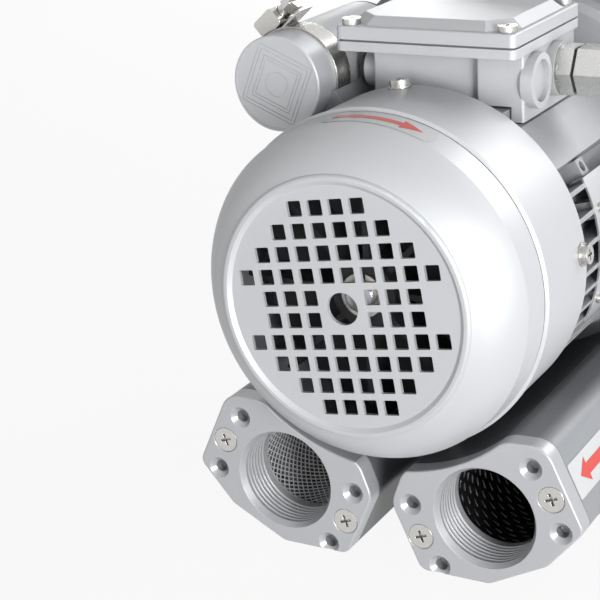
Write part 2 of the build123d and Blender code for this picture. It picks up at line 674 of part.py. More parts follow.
with BuildPart() as fan_end_shield:
    turned(
        (SHIELD_FRONT_Y, FRONT_BEARING["bore"] + 1.5),
        (SHIELD_FRONT_Y, SHIELD_HUB_R - 2),
        (SHIELD_FRONT_Y + 2, SHIELD_HUB_R),
        (SHIELD_RIM_Y, SHIELD_HUB_R + 1),
        (SHIELD_RIM_Y, SHIELD_R),
        (FRAME_FRONT_Y, SHIELD_R),
        (FRAME_FRONT_Y, FRAME_BORE_R),
        (FRAME_FRONT_Y + SPIGOT_L, FRAME_BORE_R),
        (FRAME_FRONT_Y + SPIGOT_L, FRAME_BORE_R - SPIGOT_T),
        (SHIELD_RIM_Y + SHIELD_WALL, FRAME_BORE_R - SPIGOT_T),
        (SHIELD_RIM_Y + SHIELD_WALL, SHIELD_HUB_R + 1),
        (front_step + 1.0, SHIELD_HUB_R),
        (front_step + 1.0, FRONT_BEARING["outer"]),
        (SEAT_Y, FRONT_BEARING["outer"]),
        (SEAT_Y, FRONT_BEARING["bore"] + 1.5),
    )
    for angle in TIE_BOLT_ANGLES:
        place = polar(TIE_BOLT_CIRCLE, angle)
        round_bar(SHIELD_RIM_Y, FRAME_FRONT_Y, TIE_HOLE_R, *place, mode=Mode.SUBTRACT)
    for n in range(COVER_SCREWS):
        with BuildSketch(radial_plane(COVER_TURN + n * 90, COVER_SCREW_Y, SHIELD_R)):
            Circle(M4_R)
        extrude(amount=-SHIELD_SCREW_L - 1.0, mode=Mode.SUBTRACT)
save("fan_end_shield", fan_end_shield)

TIE_HEAD_H = 3.5
TIE_END_Y = CASING_FACE_Y - 1.0

with BuildPart() as tie_bolts:
    for angle in TIE_BOLT_ANGLES:
        place = polar(TIE_BOLT_CIRCLE, angle)
        hexagon_bar(SHIELD_RIM_Y - TIE_HEAD_H, SHIELD_RIM_Y, 8.0, *place)
        round_bar(SHIELD_RIM_Y, TIE_END_Y, TIE_BOLT_R, *place)
save("tie_bolts", tie_bolts)

# ---------------------------------------------------------------- impeller casing
PORTS = {"inlet": -1, "outlet": 1}


def port_outline(turn):
    """Outline shared by a port flange, its silencer and its casing block, about the port centre."""
    discs = (
        (polar(FLANGE_HOLE_CIRCLE, 52), 9.4),
        ((11.6, 24.0), 9.4),
        ((-27.0, 6.8), 8.9),
        ((-30.0, -0.4), 8.6),
        ((34.6, 2.6), 4.4),
        ((21.4, -10.4), 6.0),
        ((0.2, 6.0 - DUCT_DROP), 6.0),
        ((-15.4, 6.0 - DUCT_DROP), 6.0),
        ((-24.2, 4.6 - DUCT_DROP), 4.6),
    )
    with BuildSketch(Plane.XY, mode=Mode.PRIVATE) as rounded:
        for place, radius in discs:
            with Locations(place):
                Circle(radius)
        make_hull()
        with Locations((-PORT_X, -PORT_Z)):
            Circle(MOTOR_CLEAR_R, mode=Mode.SUBTRACT)
    crests = [
        corner
        for corner in rounded.sketch.vertices()
        if abs(math.hypot(corner.X + PORT_X, corner.Y + PORT_Z) - MOTOR_CLEAR_R) < 0.01
    ]
    outline = rounded.sketch.face().fillet_2d(CREST_ROUND, crests)
    return outline if turn > 0 else outline.mirror(Plane.YZ)


def port_prism(turn, front, back, inset=0.0, mode=Mode.ADD):
    """Bar with the port outline between two depths, its outline drawn in by an inset."""
    outline = port_outline(turn)
    with BuildSketch(station(front, turn * PORT_X, PORT_Z)) as profile:
        add(outline)
        if inset:
            offset(amount=-inset, kind=Kind.ARC)
    extrude(profile.sketch, amount=front - back, mode=mode)


def port_point(turn, radius, degrees):
    """Point on a port's face, mirrored for the inlet."""
    across, up = polar(radius, degrees)
    return (turn * (PORT_X + across), PORT_Z + up)


SEAL_SEAT_Y = rear_end + 2.5
POCKET_FRONT_Y = SPLIT_Y - IMPELLER_HALF_W
POCKET_BACK_Y = SPLIT_Y + IMPELLER_HALF_W
COVER_FRONT_Y = SPLIT_Y + PAPER_T
BASE_Z = FOOT_T - AXIS_H
CASING_SCREW_START = 30.0
SADDLE_STEP = 7.0
SADDLE_RISE = 0.6
SADDLE_TOP_Z = -76.0
CASING_SCREW_L = 12.0
FOOT_SCREW_HALF = 26.0
FOOT_SCREW_INSET = 8.0
FOOT_SCREW_ROWS = (CASING_FACE_Y + FOOT_SCREW_INSET, SPLIT_Y - FOOT_SCREW_INSET)
FOOT_SCREWS = [(turn * FOOT_SCREW_HALF, y) for turn in (-1, 1) for y in FOOT_SCREW_ROWS]
DUCT_BOSS_INSET = 7.4
DUCT_BOSS_Y = 130.0
DUCT_FOOT_SCREWS = [(turn * (PORT_X - DUCT_BOSS_INSET), DUCT_BOSS_Y) for turn in (-1, 1)]
FOOT_SCREW_L = 12.0
DUCT_SCREWS = ((FLANGE_HOLE_CIRCLE, 52.0), (28.5, 173.0))
DUCT_SCREW_L = 12.0


def channel_cut(deep_y, face_y):
    """Side channel groove, open on the impeller side and blocked at the bottom by the stripper."""
    toward = 1 if face_y > deep_y else -1
    corner = deep_y + toward * CHANNEL_ROUND * 0.6
    with BuildSketch(LATHE) as groove:
        with BuildLine():
            Polyline(
                (face_y + toward, CHANNEL_IN_R),
                (corner, CHANNEL_IN_R),
                (deep_y, CHANNEL_IN_R + CHANNEL_ROUND * 0.6),
                (deep_y, CHANNEL_OUT_R - CHANNEL_ROUND * 0.6),
                (corner, CHANNEL_OUT_R),
                (face_y + toward, CHANNEL_OUT_R),
                close=True,
            )
        make_face()
    start = groove.sketch.rotate(SHAFT_AXIS, 180 - STRIPPER_HALF_ANGLE)
    revolve(start, axis=SHAFT_AXIS, revolution_arc=-(360 - 2 * STRIPPER_HALF_ANGLE), mode=Mode.SUBTRACT)


def casing_screw_places():
    """Cross-section points of the casing screws."""
    step = 360 / CASING_SCREWS
    return [polar(CASING_SCREW_CIRCLE, CASING_SCREW_START + step * n) for n in range(CASING_SCREWS)]


with BuildPart() as blower_casing:
    turned(
        (FRAME_BACK_Y - SPIGOT_L, FRAME_BORE_R - SPIGOT_T),
        (FRAME_BACK_Y - SPIGOT_L, FRAME_BORE_R),
        (FRAME_BACK_Y, FRAME_BORE_R),
        (FRAME_BACK_Y, HUB_MOUNT_R),
        (CASING_FACE_Y, HUB_MOUNT_R + 1.5),
        (CASING_FACE_Y, BULGE_R - BULGE_ROUND),
        (CASING_FACE_Y + 1.5, BULGE_R - 1.5),
        (CASING_FACE_Y + BULGE_ROUND, BULGE_R),
        (CASING_FLANGE_Y, BULGE_R + 1.0),
        (CASING_FLANGE_Y, CASING_R - 1.0),
        (CASING_FLANGE_Y + 1.0, CASING_R),
        (SPLIT_Y, CASING_R),
        (SPLIT_Y, CHANNEL_OUT_R),
        (POCKET_FRONT_Y, CHANNEL_OUT_R),
        (POCKET_FRONT_Y, IMPELLER_HUB_R + 2.0),
        (SEAL_SEAT_Y + SEAL_W, IMPELLER_HUB_R + 2.0),
        (SEAL_SEAT_Y + SEAL_W, SEAL_R),
        (SEAL_SEAT_Y, SEAL_R),
        (SEAL_SEAT_Y, SHAFT_CORE_R + 1.5),
        (rear_end, SHAFT_CORE_R + 1.5),
        (rear_end, REAR_BEARING["outer"]),
        (REAR_BEARING_Y - 1.0, REAR_BEARING["outer"]),
        (REAR_BEARING_Y - 1.0, REAR_BEARING["outer"] + 5.0),
        (CASING_FACE_Y - 3.0, REAR_BEARING["outer"] + 6.0),
        (CASING_FACE_Y - 3.0, FRAME_BORE_R - SPIGOT_T),
    )
    for turn in PORTS.values():
        port_prism(turn, CASING_FACE_Y, SPLIT_Y)
    saddle_x = PORT_X - SADDLE_STEP
    block((-saddle_x, saddle_x), (CASING_FACE_Y, SPLIT_Y), (BASE_Z + SADDLE_RISE, SADDLE_TOP_Z))
    ring(POCKET_FRONT_Y, SPLIT_Y + 1, 0.1, CHANNEL_OUT_R, mode=Mode.SUBTRACT)
    channel_cut(POCKET_FRONT_Y - CHANNEL_DEPTH, POCKET_FRONT_Y)
    for turn in PORTS.values():
        with BuildSketch(station(CASING_FACE_Y, turn * PORT_X, PORT_Z)) as passage:
            Circle(PASSAGE_R)
        extrude(passage.sketch, amount=CASING_FACE_Y - POCKET_FRONT_Y - 4.0, mode=Mode.SUBTRACT)
        for duct_screw in DUCT_SCREWS:
            place = port_point(turn, *duct_screw)
            round_bar(CASING_FACE_Y, CASING_FACE_Y + DUCT_SCREW_L, M5_R, *place, mode=Mode.SUBTRACT)
    for place in casing_screw_places():
        round_bar(SPLIT_Y - CASING_SCREW_L, SPLIT_Y, M6_R, *place, mode=Mode.SUBTRACT)
    for angle in TIE_BOLT_ANGLES:
        round_bar(FRAME_BACK_Y, TIE_END_Y, TIE_BOLT_R, *polar(TIE_BOLT_CIRCLE, angle), mode=Mode.SUBTRACT)
    for across, depth in FOOT_SCREWS:
        upright(across, depth, BASE_Z, BASE_Z + FOOT_SCREW_L, M6_R, mode=Mode.SUBTRACT)
save("blower_casing", blower_casing)

with BuildPart() as casing_gasket:
    ring(SPLIT_Y, COVER_FRONT_Y, CHANNEL_OUT_R + 0.5, CASING_R - 0.5)
    for place in casing_screw_places():
        round_bar(SPLIT_Y - 1, COVER_FRONT_Y + 1, M6_R + 0.3, *place, mode=Mode.SUBTRACT)
save("casing_gasket", casing_gasket)

COVER_FLANGE_Y = COVER_FRONT_Y + COVER_FLANGE_T
RIB_T = 3.0
RIB_H = 3.5
COVER_HUB_R = 24.0
COVER_DISH_R = 48.0
COVER_DISH_Y = CASING_BACK_Y - 9.0
COVER_CAVITY_R = 32.0
COVER_CAVITY_Y = BOLT_HEAD_Y + BOLT_HEAD_H + 1.0

with BuildPart() as casing_cover:
    turned(
        (POCKET_BACK_Y, 0),
        (COVER_DISH_Y + 6.0, 0),
        (COVER_DISH_Y + 6.0, COVER_HUB_R),
        (COVER_DISH_Y, COVER_HUB_R + 1.5),
        (COVER_DISH_Y, COVER_DISH_R),
        (CASING_BACK_Y, COVER_DISH_R + 3.0),
        (CASING_BACK_Y, BULGE_R - BULGE_ROUND),
        (CASING_BACK_Y - 1.5, BULGE_R - 1.5),
        (CASING_BACK_Y - BULGE_ROUND, BULGE_R),
        (COVER_FLANGE_Y, BULGE_R + 1.0),
        (COVER_FLANGE_Y, CASING_R - 1.0),
        (COVER_FLANGE_Y - 1.0, CASING_R),
        (COVER_FRONT_Y, CASING_R),
        (COVER_FRONT_Y, CHANNEL_OUT_R),
        (POCKET_BACK_Y, CHANNEL_OUT_R),
    )
    for n in range(CASING_RIBS):
        with BuildSketch(meridian(360 / CASING_RIBS * (n + 0.5))) as rib:
            with BuildLine():
                Polyline(
                    (COVER_DISH_Y - 1, COVER_HUB_R - 1),
                    (COVER_DISH_Y + 6.0, COVER_HUB_R - 1),
                    (CASING_BACK_Y + RIB_H, COVER_DISH_R + 2.0),
                    (CASING_BACK_Y + RIB_H, BULGE_R - 8.0),
                    (CASING_BACK_Y - BULGE_ROUND, BULGE_R + 3.0),
                    (COVER_FLANGE_Y + 3.0, CASING_SCREW_CIRCLE - 9.0),
                    (COVER_FLANGE_Y - 1, BULGE_R),
                    (COVER_FLANGE_Y - 1, BULGE_R - 2.0),
                    (CASING_BACK_Y - 2.0, BULGE_R - 6.0),
                    (CASING_BACK_Y - 2.0, COVER_DISH_R + 4.0),
                    close=True,
                )
            make_face()
        extrude(rib.sketch, amount=RIB_T / 2, both=True)
    channel_cut(POCKET_BACK_Y + CHANNEL_DEPTH, POCKET_BACK_Y)
    round_bar(POCKET_BACK_Y - 1, COVER_CAVITY_Y, COVER_CAVITY_R, mode=Mode.SUBTRACT)
    for place in casing_screw_places():
        round_bar(COVER_FRONT_Y - 1, COVER_FLANGE_Y + 1, M6_R + 0.3, *place, mode=Mode.SUBTRACT)
        round_bar(COVER_FLANGE_Y, COVER_FLANGE_Y + 20, 6.5, *place, mode=Mode.SUBTRACT)
save("casing_cover", casing_cover)

with BuildPart() as casing_screws:
    for place in casing_screw_places():
        hexagon_bar(COVER_FLANGE_Y, COVER_FLANGE_Y + 4.2, 10.0, *place)
        round_bar(SPLIT_Y - CASING_SCREW_L + 1.0, COVER_FLANGE_Y, M6_R, *place)
save("casing_screws", casing_screws)

with BuildPart() as shaft_seal:
    turned(
        (SEAL_SEAT_Y, IMPELLER_SEAT_R + RUN_FIT),
        (SEAL_SEAT_Y + SEAL_W, IMPELLER_SEAT_R + RUN_FIT),
        (SEAL_SEAT_Y + SEAL_W, IMPELLER_SEAT_R + 1.4),
        (SEAL_SEAT_Y + 1.6, IMPELLER_SEAT_R + 2.2),
        (SEAL_SEAT_Y + 1.6, SEAL_R - 1.2),
        (SEAL_SEAT_Y + SEAL_W, SEAL_R - 1.2),
        (SEAL_SEAT_Y + SEAL_W, SEAL_R),
        (SEAL_SEAT_Y, SEAL_R),
    )
save("shaft_seal", shaft_seal)

# ---------------------------------------------------------------- silencers and port flanges
DUCT_FRONT_Y = PORT_Y + FLANGE_T + PAPER_T
DUCT_BACK_Y = CASING_FACE_Y - PAPER_T
SLEEVE_R = THREAD_MAJOR_R + 1.2
SLEEVE_GAP = 0.1
SLEEVE_END_Y = PORT_Y + PORT_L
PILLAR_R = 4.8
PILLAR_END_Y = DUCT_FRONT_Y + 20.0
FLANGE_SCREW_L = 18.0
DUCT_BOSS_R = 6.0
DUCT_BOSS_H = 6.8
DUCT_FOOT_SCREW_L = 6.0
TUBE_GAP = 0.3
FOAM_FRONT_Y = PILLAR_END_Y + 1.0
FOAM_BACK_Y = DUCT_BACK_Y - DUCT_FLOOR - 6.0
TUBE_FRONT_Y = SLEEVE_END_Y
THREAD_START = 4.2
THREAD_COUNT = 6

for port_name, turn in PORTS.items():
    port_centre = (turn * PORT_X, PORT_Z)
    with BuildPart() as silencer:
        port_prism(turn, DUCT_FRONT_Y, DUCT_BACK_Y)
        port_prism(turn, DUCT_FRONT_Y - 1, DUCT_BACK_Y - DUCT_FLOOR, inset=DUCT_WALL, mode=Mode.SUBTRACT)
        for angle in FLANGE_SCREW_ANGLES:
            round_bar(DUCT_FRONT_Y, PILLAR_END_Y, PILLAR_R, *port_point(turn, FLANGE_SCREW_CIRCLE, angle))
        for across, depth in DUCT_FOOT_SCREWS:
            if across * turn > 0:
                upright(across, depth, BASE_Z + 1, BASE_Z + DUCT_BOSS_H, DUCT_BOSS_R)
                upright(across, depth, BASE_Z, BASE_Z + DUCT_FOOT_SCREW_L, M6_R, mode=Mode.SUBTRACT)
        for angle in FLANGE_SCREW_ANGLES:
            place = port_point(turn, FLANGE_SCREW_CIRCLE, angle)
            round_bar(DUCT_FRONT_Y - 1, PILLAR_END_Y - 2.0, M5_R, *place, mode=Mode.SUBTRACT)
        sleeve_room = (DUCT_FRONT_Y - 1, SLEEVE_END_Y + TUBE_GAP, SLEEVE_R + SLEEVE_GAP)
        tube_room = (DUCT_FRONT_Y - 1, DUCT_BACK_Y - DUCT_FLOOR, TUBE_R + TUBE_GAP)
        round_bar(*sleeve_room, *port_centre, mode=Mode.SUBTRACT)
        round_bar(*tube_room, *port_centre, mode=Mode.SUBTRACT)
        for duct_screw in DUCT_SCREWS:
            place = port_point(turn, *duct_screw)
            round_bar(DUCT_BACK_Y - DUCT_FLOOR - 1, DUCT_BACK_Y, M5_R + 0.3, *place, mode=Mode.SUBTRACT)
        round_bar(DUCT_BACK_Y - DUCT_FLOOR - 1, DUCT_BACK_Y, TUBE_R, *port_centre, mode=Mode.SUBTRACT)
    save(f"{port_name}_silencer", silencer)

    with BuildPart() as port_flange:
        port_prism(turn, PORT_Y, PORT_Y + FLANGE_T)
        rim = port_flange.faces().filter_by(Axis.Y).sort_by(Axis.Y)[0].edges()
        fillet(rim, 0.8)
        round_bar(PORT_Y + 1, SLEEVE_END_Y, SLEEVE_R, *port_centre)
        round_bar(PORT_Y - 1, SLEEVE_END_Y, THREAD_MINOR_R, *port_centre, mode=Mode.SUBTRACT)
        mouth = (PORT_Y - 0.1, PORT_Y + 2.6, THREAD_MAJOR_R + 0.15, THREAD_MINOR_R)
        cone_bar(*mouth, *port_centre, mode=Mode.SUBTRACT)
        for n in range(THREAD_COUNT):
            crest = PORT_Y + THREAD_START + n * THREAD_PITCH
            with BuildSketch(meridian(90, *port_centre)) as groove:
                with BuildLine():
                    Polyline(
                        (crest - THREAD_PITCH * 0.4, THREAD_MINOR_R - 0.1),
                        (crest, THREAD_MAJOR_R),
                        (crest + THREAD_PITCH * 0.4, THREAD_MINOR_R - 0.1),
                        close=True,
                    )
                make_face()
            port_axis = Axis((port_centre[0], FACE_Y, AXIS_H + port_centre[1]), (0, 1, 0))
            revolve(groove.sketch, axis=port_axis, mode=Mode.SUBTRACT)
        for angle in FLANGE_TAPPED_ANGLES:
            place = port_point(turn, FLANGE_HOLE_CIRCLE, angle)
            round_bar(PORT_Y - 1, PORT_Y + TAPPED_L, TAPPED_R, *place, mode=Mode.SUBTRACT)
            cone_bar(PORT_Y - 0.1, PORT_Y + 2.6, CSK_MOUTH_R, 1.8, *place, mode=Mode.SUBTRACT)
        for angle in FLANGE_SCREW_ANGLES:
            place = port_point(turn, FLANGE_SCREW_CIRCLE, angle)
            round_bar(PORT_Y - 1, PORT_Y + FLANGE_T + 1, M5_R + FIT_GAP, *place, mode=Mode.SUBTRACT)
            cone_bar(PORT_Y - 0.01, PORT_Y + 3.2, CSK_HEAD_R + FIT_GAP, M5_R, *place, mode=Mode.SUBTRACT)
    save(f"{port_name}_port_flange", port_flange)

    with BuildPart() as silencer_tube:
        round_bar(TUBE_FRONT_Y, DUCT_BACK_Y, TUBE_R, *port_centre)
        round_bar(TUBE_FRONT_Y - 1, DUCT_BACK_Y + 1, TUBE_R - TUBE_T, *port_centre, mode=Mode.SUBTRACT)
    save(f"{port_name}_silencer_tube", silencer_tube)

    with BuildPart() as silencer_foam:
        port_prism(turn, FOAM_FRONT_Y, FOAM_BACK_Y, inset=DUCT_WALL + 0.2)
        foam_bore = (FOAM_FRONT_Y - 1, FOAM_BACK_Y + 1, TUBE_R + TUBE_GAP)
        round_bar(*foam_bore, *port_centre, mode=Mode.SUBTRACT)
        for across, depth in DUCT_FOOT_SCREWS:
            if across * turn > 0:
                boss_top = BASE_Z + DUCT_BOSS_H + FIT_GAP
                upright(across, depth, BASE_Z, boss_top, DUCT_BOSS_R + FIT_GAP, mode=Mode.SUBTRACT)
    save(f"{port_name}_silencer_foam", silencer_foam)

with BuildPart() as flange_gaskets:
    for turn in PORTS.values():
        port_prism(turn, PORT_Y + FLANGE_T, DUCT_FRONT_Y)
        sleeve_bore = (PORT_Y + FLANGE_T - 1, DUCT_FRONT_Y + 1, SLEEVE_R + SLEEVE_GAP)
        round_bar(*sleeve_bore, turn * PORT_X, PORT_Z, mode=Mode.SUBTRACT)
        for angle in FLANGE_SCREW_ANGLES:
            place = port_point(turn, FLANGE_SCREW_CIRCLE, angle)
            round_bar(PORT_Y + FLANGE_T - 1, DUCT_FRONT_Y + 1, M5_R + FIT_GAP, *place, mode=Mode.SUBTRACT)
save("flange_gaskets", flange_gaskets)

with BuildPart() as flange_screws:
    for turn in PORTS.values():
        for angle in FLANGE_SCREW_ANGLES:
            place = port_point(turn, FLANGE_SCREW_CIRCLE, angle)
            cone_bar(PORT_Y + 0.2, PORT_Y + 3.0, CSK_HEAD_R, M5_R, *place)
            round_bar(PORT_Y + 2.2, PORT_Y + FLANGE_SCREW_L, M5_R, *place)
            with BuildSketch(station(PORT_Y, *place)) as recess:
                with Locations(Location((0, 0, 0), (0, 0, 20))):
                    Rectangle(5.0, 1.0)
                    Rectangle(1.0, 5.0)
            extrude(recess.sketch, amount=-1.8, mode=Mode.SUBTRACT)
save("flange_screws", flange_screws)

with BuildPart() as silencer_screws:
    for turn in PORTS.values():
        for duct_screw in DUCT_SCREWS:
            place = port_point(turn, *duct_screw)
            head_y = DUCT_BACK_Y - DUCT_FLOOR
            hexagon_bar(head_y - 3.5, head_y, 7.0, *place)
            round_bar(head_y, CASING_FACE_Y + DUCT_SCREW_L - 1.0, M5_R, *place)
save("silencer_screws", silencer_screws)

# ---------------------------------------------------------------- foot
FOOT_BACK_Y = 224.0
FOOT_PAD_R = 11.0
FOOT_HEAD_R = 5.0
FOOT_HEAD_Z = (0.4, 4.4)
FOOT_INNER_ROUND = 8.0
FOOT_NOSE_ROUND = 6.0
CASING_PAD_HALF_W = 62.0
hole_places = [(x * FOOT_SPACING_X / 2, y * FOOT_SPACING_Y / 2) for x in (-1, 1) for y in (-1, 1)]
all_foot_screws = FOOT_SCREWS + DUCT_FOOT_SCREWS

with BuildPart() as base_foot:
    with BuildSketch(Plane.XY) as sole:
        with Locations((0, FACE_Y + (FOOT_NOSE_Y + FOOT_BACK_Y) / 2)):
            Rectangle(2 * FOOT_NOSE_HALF_W, FOOT_BACK_Y - FOOT_NOSE_Y)
        for row in (-1, 1):
            with Locations((0, row * FOOT_SPACING_Y / 2)):
                SlotCenterToCenter(FOOT_SPACING_X, 2 * FOOT_END_PAD)
        inner = sole.vertices().filter_by(lambda v: abs(abs(v.X) - FOOT_NOSE_HALF_W) < 0.01 and abs(v.Y) < 60)
        fillet(inner, FOOT_INNER_ROUND)
        fillet(sole.vertices().filter_by(lambda v: abs(v.Y - (FACE_Y + FOOT_NOSE_Y)) < 0.01), FOOT_NOSE_ROUND)
    extrude(amount=FOOT_WALL)
    fillet(base_foot.faces().sort_by(Axis.Z)[-1].edges(), 1.5)
    with BuildSketch(Plane.XY.offset(FOOT_WALL - 0.5)):
        with Locations(*hole_places):
            Circle(FOOT_PAD_R)
        with Locations((0, FACE_Y + (CASING_FACE_Y + SPLIT_Y) / 2)):
            Rectangle(2 * CASING_PAD_HALF_W, SPLIT_Y - CASING_FACE_Y - 2.0)
        with Locations(*[(x, FACE_Y + y) for x, y in DUCT_FOOT_SCREWS]):
            Circle(DUCT_BOSS_R + 2)
    extrude(amount=FOOT_T - FOOT_WALL + 0.5)
    with Locations(*[(x, y, FOOT_T) for x, y in hole_places]):
        Hole(FOOT_HOLE_R)
    with BuildSketch(Plane.XY):
        with Locations(*[(x, FACE_Y + y) for x, y in all_foot_screws]):
            Circle(FOOT_HEAD_R + 0.6)
    extrude(amount=FOOT_HEAD_Z[1], mode=Mode.SUBTRACT)
    with BuildSketch(Plane.XY):
        with Locations(*[(x, FACE_Y + y) for x, y in all_foot_screws]):
            Circle(M6_R + 0.3)
    extrude(amount=FOOT_T + 1, mode=Mode.SUBTRACT)
save("base_foot", base_foot)

with BuildPart() as foot_screws:
    for across, depth in all_foot_screws:
        upright(across, depth, FOOT_HEAD_Z[0] - AXIS_H, FOOT_HEAD_Z[1] - AXIS_H, FOOT_HEAD_R)
        hold = FOOT_SCREW_L if (across, depth) in FOOT_SCREWS else DUCT_FOOT_SCREW_L
        upright(across, depth, FOOT_HEAD_Z[1] - AXIS_H, BASE_Z + hold - 1.0, M6_R)
        with BuildSketch(level(FOOT_HEAD_Z[0] - AXIS_H, depth, across)):
            RegularPolygon(5.0 / math.sqrt(3), 6)
        extrude(amount=2.2, mode=Mode.SUBTRACT)
save("foot_screws", foot_screws)

# ---------------------------------------------------------------- terminal box
LID_ROUND = 2.5
BOX_FLANGE_TOP = LID_SEAM_Z - GASKET_T
FLOOR_Z = BOX_SEAT_Z + BOX_WALL
CAVITY_X = (BOX_LEFT_X + BOX_WALL, BOX_RIGHT_X - BOX_WALL)
CAVITY_Y = (BOX_BODY_FRONT_Y + BOX_WALL, BOX_BODY_BACK_Y - BOX_WALL)
BOX_MID_Y = (BOX_FRONT_Y + BOX_BACK_Y) / 2
BOX_DEPTH = BOX_BACK_Y - BOX_FRONT_Y
LID_SCREW_X = BOX_HALF_W - LID_SCREW_INSET
LID_SCREW_Y = (BOX_FRONT_Y + LID_SCREW_INSET, BOX_BACK_Y - LID_SCREW_INSET)
LID_SCREWS = [(x, y) for x in (-LID_SCREW_X, LID_SCREW_X) for y in LID_SCREW_Y]
BUSH_Y = 100.0
BUSH_R = 7.6
BUSH_H = 6.5
BUSH_BORE_R = 4.6
STUD_PLACES = [(x, y) for x in (-9.0, 0.0, 9.0) for y in (107.5, 120.5)]
TERMINAL_Z = (FLOOR_Z, FLOOR_Z + 9.0)


def box_plate(low, high, inset=0.0, mode=Mode.ADD):
    """Rounded rectangular slab with the terminal box outline between two heights."""
    with BuildSketch(level(low, BOX_MID_Y)) as outline:
        RectangleRounded(2 * (BOX_HALF_W - inset), BOX_DEPTH - 2 * inset, LID_ROUND)
    extrude(outline.sketch, amount=high - low, mode=mode)


with BuildPart() as terminal_box_gasket:
    seat_y = (BOX_BODY_FRONT_Y + 0.5, BOX_BODY_BACK_Y - 0.5)
    window_y = (BOX_BODY_FRONT_Y + 16, BOX_BODY_BACK_Y - 16)
    block((-PAD_HALF_W + 5.0, PAD_HALF_W), seat_y, (PAD_Z, BOX_SEAT_Z))
    block((-12.0, 12.0), window_y, (PAD_Z - 1, BOX_SEAT_Z + 1), mode=Mode.SUBTRACT)
    for across, depth in BOX_SCREWS:
        upright(across, depth, PAD_Z - 1, BOX_SEAT_Z + 1, M4_R + 0.3, mode=Mode.SUBTRACT)
save("terminal_box_gasket", terminal_box_gasket)

with BuildPart() as terminal_box_base:
    box_x = (BOX_LEFT_X, BOX_RIGHT_X)
    block(box_x, (BOX_BODY_FRONT_Y, BOX_BODY_BACK_Y), (BOX_SEAT_Z, FLANGE_Z + 1))
    block((BOX_PAD_X, BOX_RIGHT_X), (BOX_PAD_FRONT_Y, BOX_BODY_BACK_Y), (BOX_SEAT_Z, FLANGE_Z + 1))
    apron_x = (PAD_HALF_W + 0.3, BOX_RIGHT_X)
    block(apron_x, (BOX_PAD_FRONT_Y, BOX_BODY_BACK_Y), (BOX_APRON_Z, BOX_SEAT_Z))
    corners = terminal_box_base.edges().filter_by(Axis.Z)
    fillet(corners, 1.0)
    box_plate(FLANGE_Z, BOX_FLANGE_TOP)
    for depth in ENTRY_Y:
        with BuildSketch(side(BOX_RIGHT_X - 1, depth, ENTRY_Z)):
            Circle(ENTRY_BOSS_R)
        extrude(amount=ENTRY_BOSS_H + 1)
    with BuildSketch(side(BOX_LEFT_X - BUSH_H, BUSH_Y, ENTRY_Z)):
        Circle(BUSH_R)
    extrude(amount=BUSH_H + 1)
    block(CAVITY_X, CAVITY_Y, (FLOOR_Z, BOX_FLANGE_TOP + 1), mode=Mode.SUBTRACT)
    with BuildSketch(side(BOX_RIGHT_X + ENTRY_BOSS_H - 2.2, ENTRY_Y[0], ENTRY_Z)):
        Circle(ENTRY_RECESS_R)
    extrude(amount=4.0, mode=Mode.SUBTRACT)
    with BuildSketch(side(CAVITY_X[1] - 2, ENTRY_Y[1], ENTRY_Z)):
        Circle(ENTRY_BORE_R)
    extrude(amount=20.0, mode=Mode.SUBTRACT)
    with BuildSketch(side(BOX_LEFT_X - BUSH_H - 1, BUSH_Y, ENTRY_Z)):
        Circle(BUSH_BORE_R)
    extrude(amount=BUSH_H + BOX_WALL + 3, mode=Mode.SUBTRACT)
    for across, depth in BOX_SCREWS:
        upright(across, depth, BOX_SEAT_Z - 1, FLOOR_Z + 1, M4_R + 0.3, mode=Mode.SUBTRACT)
    for across, depth in LID_SCREWS:
        upright(across, depth, FLANGE_Z - 0.1, BOX_FLANGE_TOP + 1, M4_R, mode=Mode.SUBTRACT)
save("terminal_box_base", terminal_box_base)

with BuildPart() as lid_gasket:
    box_plate(BOX_FLANGE_TOP, LID_SEAM_Z, inset=0.8)
    block(CAVITY_X, CAVITY_Y, (BOX_FLANGE_TOP - 1, LID_SEAM_Z + 1), mode=Mode.SUBTRACT)
    for across, depth in LID_SCREWS:
        upright(across, depth, BOX_FLANGE_TOP - 1, LID_SEAM_Z + 1, M4_R + FIT_GAP, mode=Mode.SUBTRACT)
save("lid_gasket", lid_gasket)

with BuildPart() as terminal_box_lid:
    box_plate(LID_SEAM_Z, LID_TOP_Z)
    fillet(terminal_box_lid.faces().sort_by(Axis.Z)[-1].edges(), 0.8)
    with BuildSketch(level(LID_TOP_Z, BOX_MID_Y)) as panel:
        Rectangle(2 * (BOX_HALF_W - 2.2), BOX_DEPTH - 4.4)
        chamfer(panel.vertices(), 10.5)
    extrude(amount=LID_PANEL_H, taper=52)
    lid_room = [(low + 1, high - 1) for low, high in (CAVITY_X, CAVITY_Y)]
    block(*lid_room, (LID_SEAM_Z - 1, LID_TOP_Z - 1.5), mode=Mode.SUBTRACT)
    for across, depth in LID_SCREWS:
        upright(across, depth, LID_SEAM_Z - 1, LID_TOP_Z + 10, M4_R + 0.3, mode=Mode.SUBTRACT)
        upright(across, depth, LID_TOP_Z, LID_TOP_Z + 10, 4.1, mode=Mode.SUBTRACT)
save("terminal_box_lid", terminal_box_lid)


def pan_screw(across, depth, seat_z, length, head_r=PAN_HEAD_R, head_h=HEAD_H):
    """Upright cross-recess pan head screw seated at a height, made inside the current part."""
    upright(across, depth, seat_z, seat_z + head_h, head_r)
    upright(across, depth, seat_z - length, seat_z, M4_R)
    recess_z = (seat_z + head_h - 1.2, seat_z + head_h + 1)
    for half_x, half_y in ((2.1, 0.45), (0.45, 2.1)):
        arms = (across - half_x, across + half_x), (depth - half_y, depth + half_y)
        block(*arms, recess_z, mode=Mode.SUBTRACT)


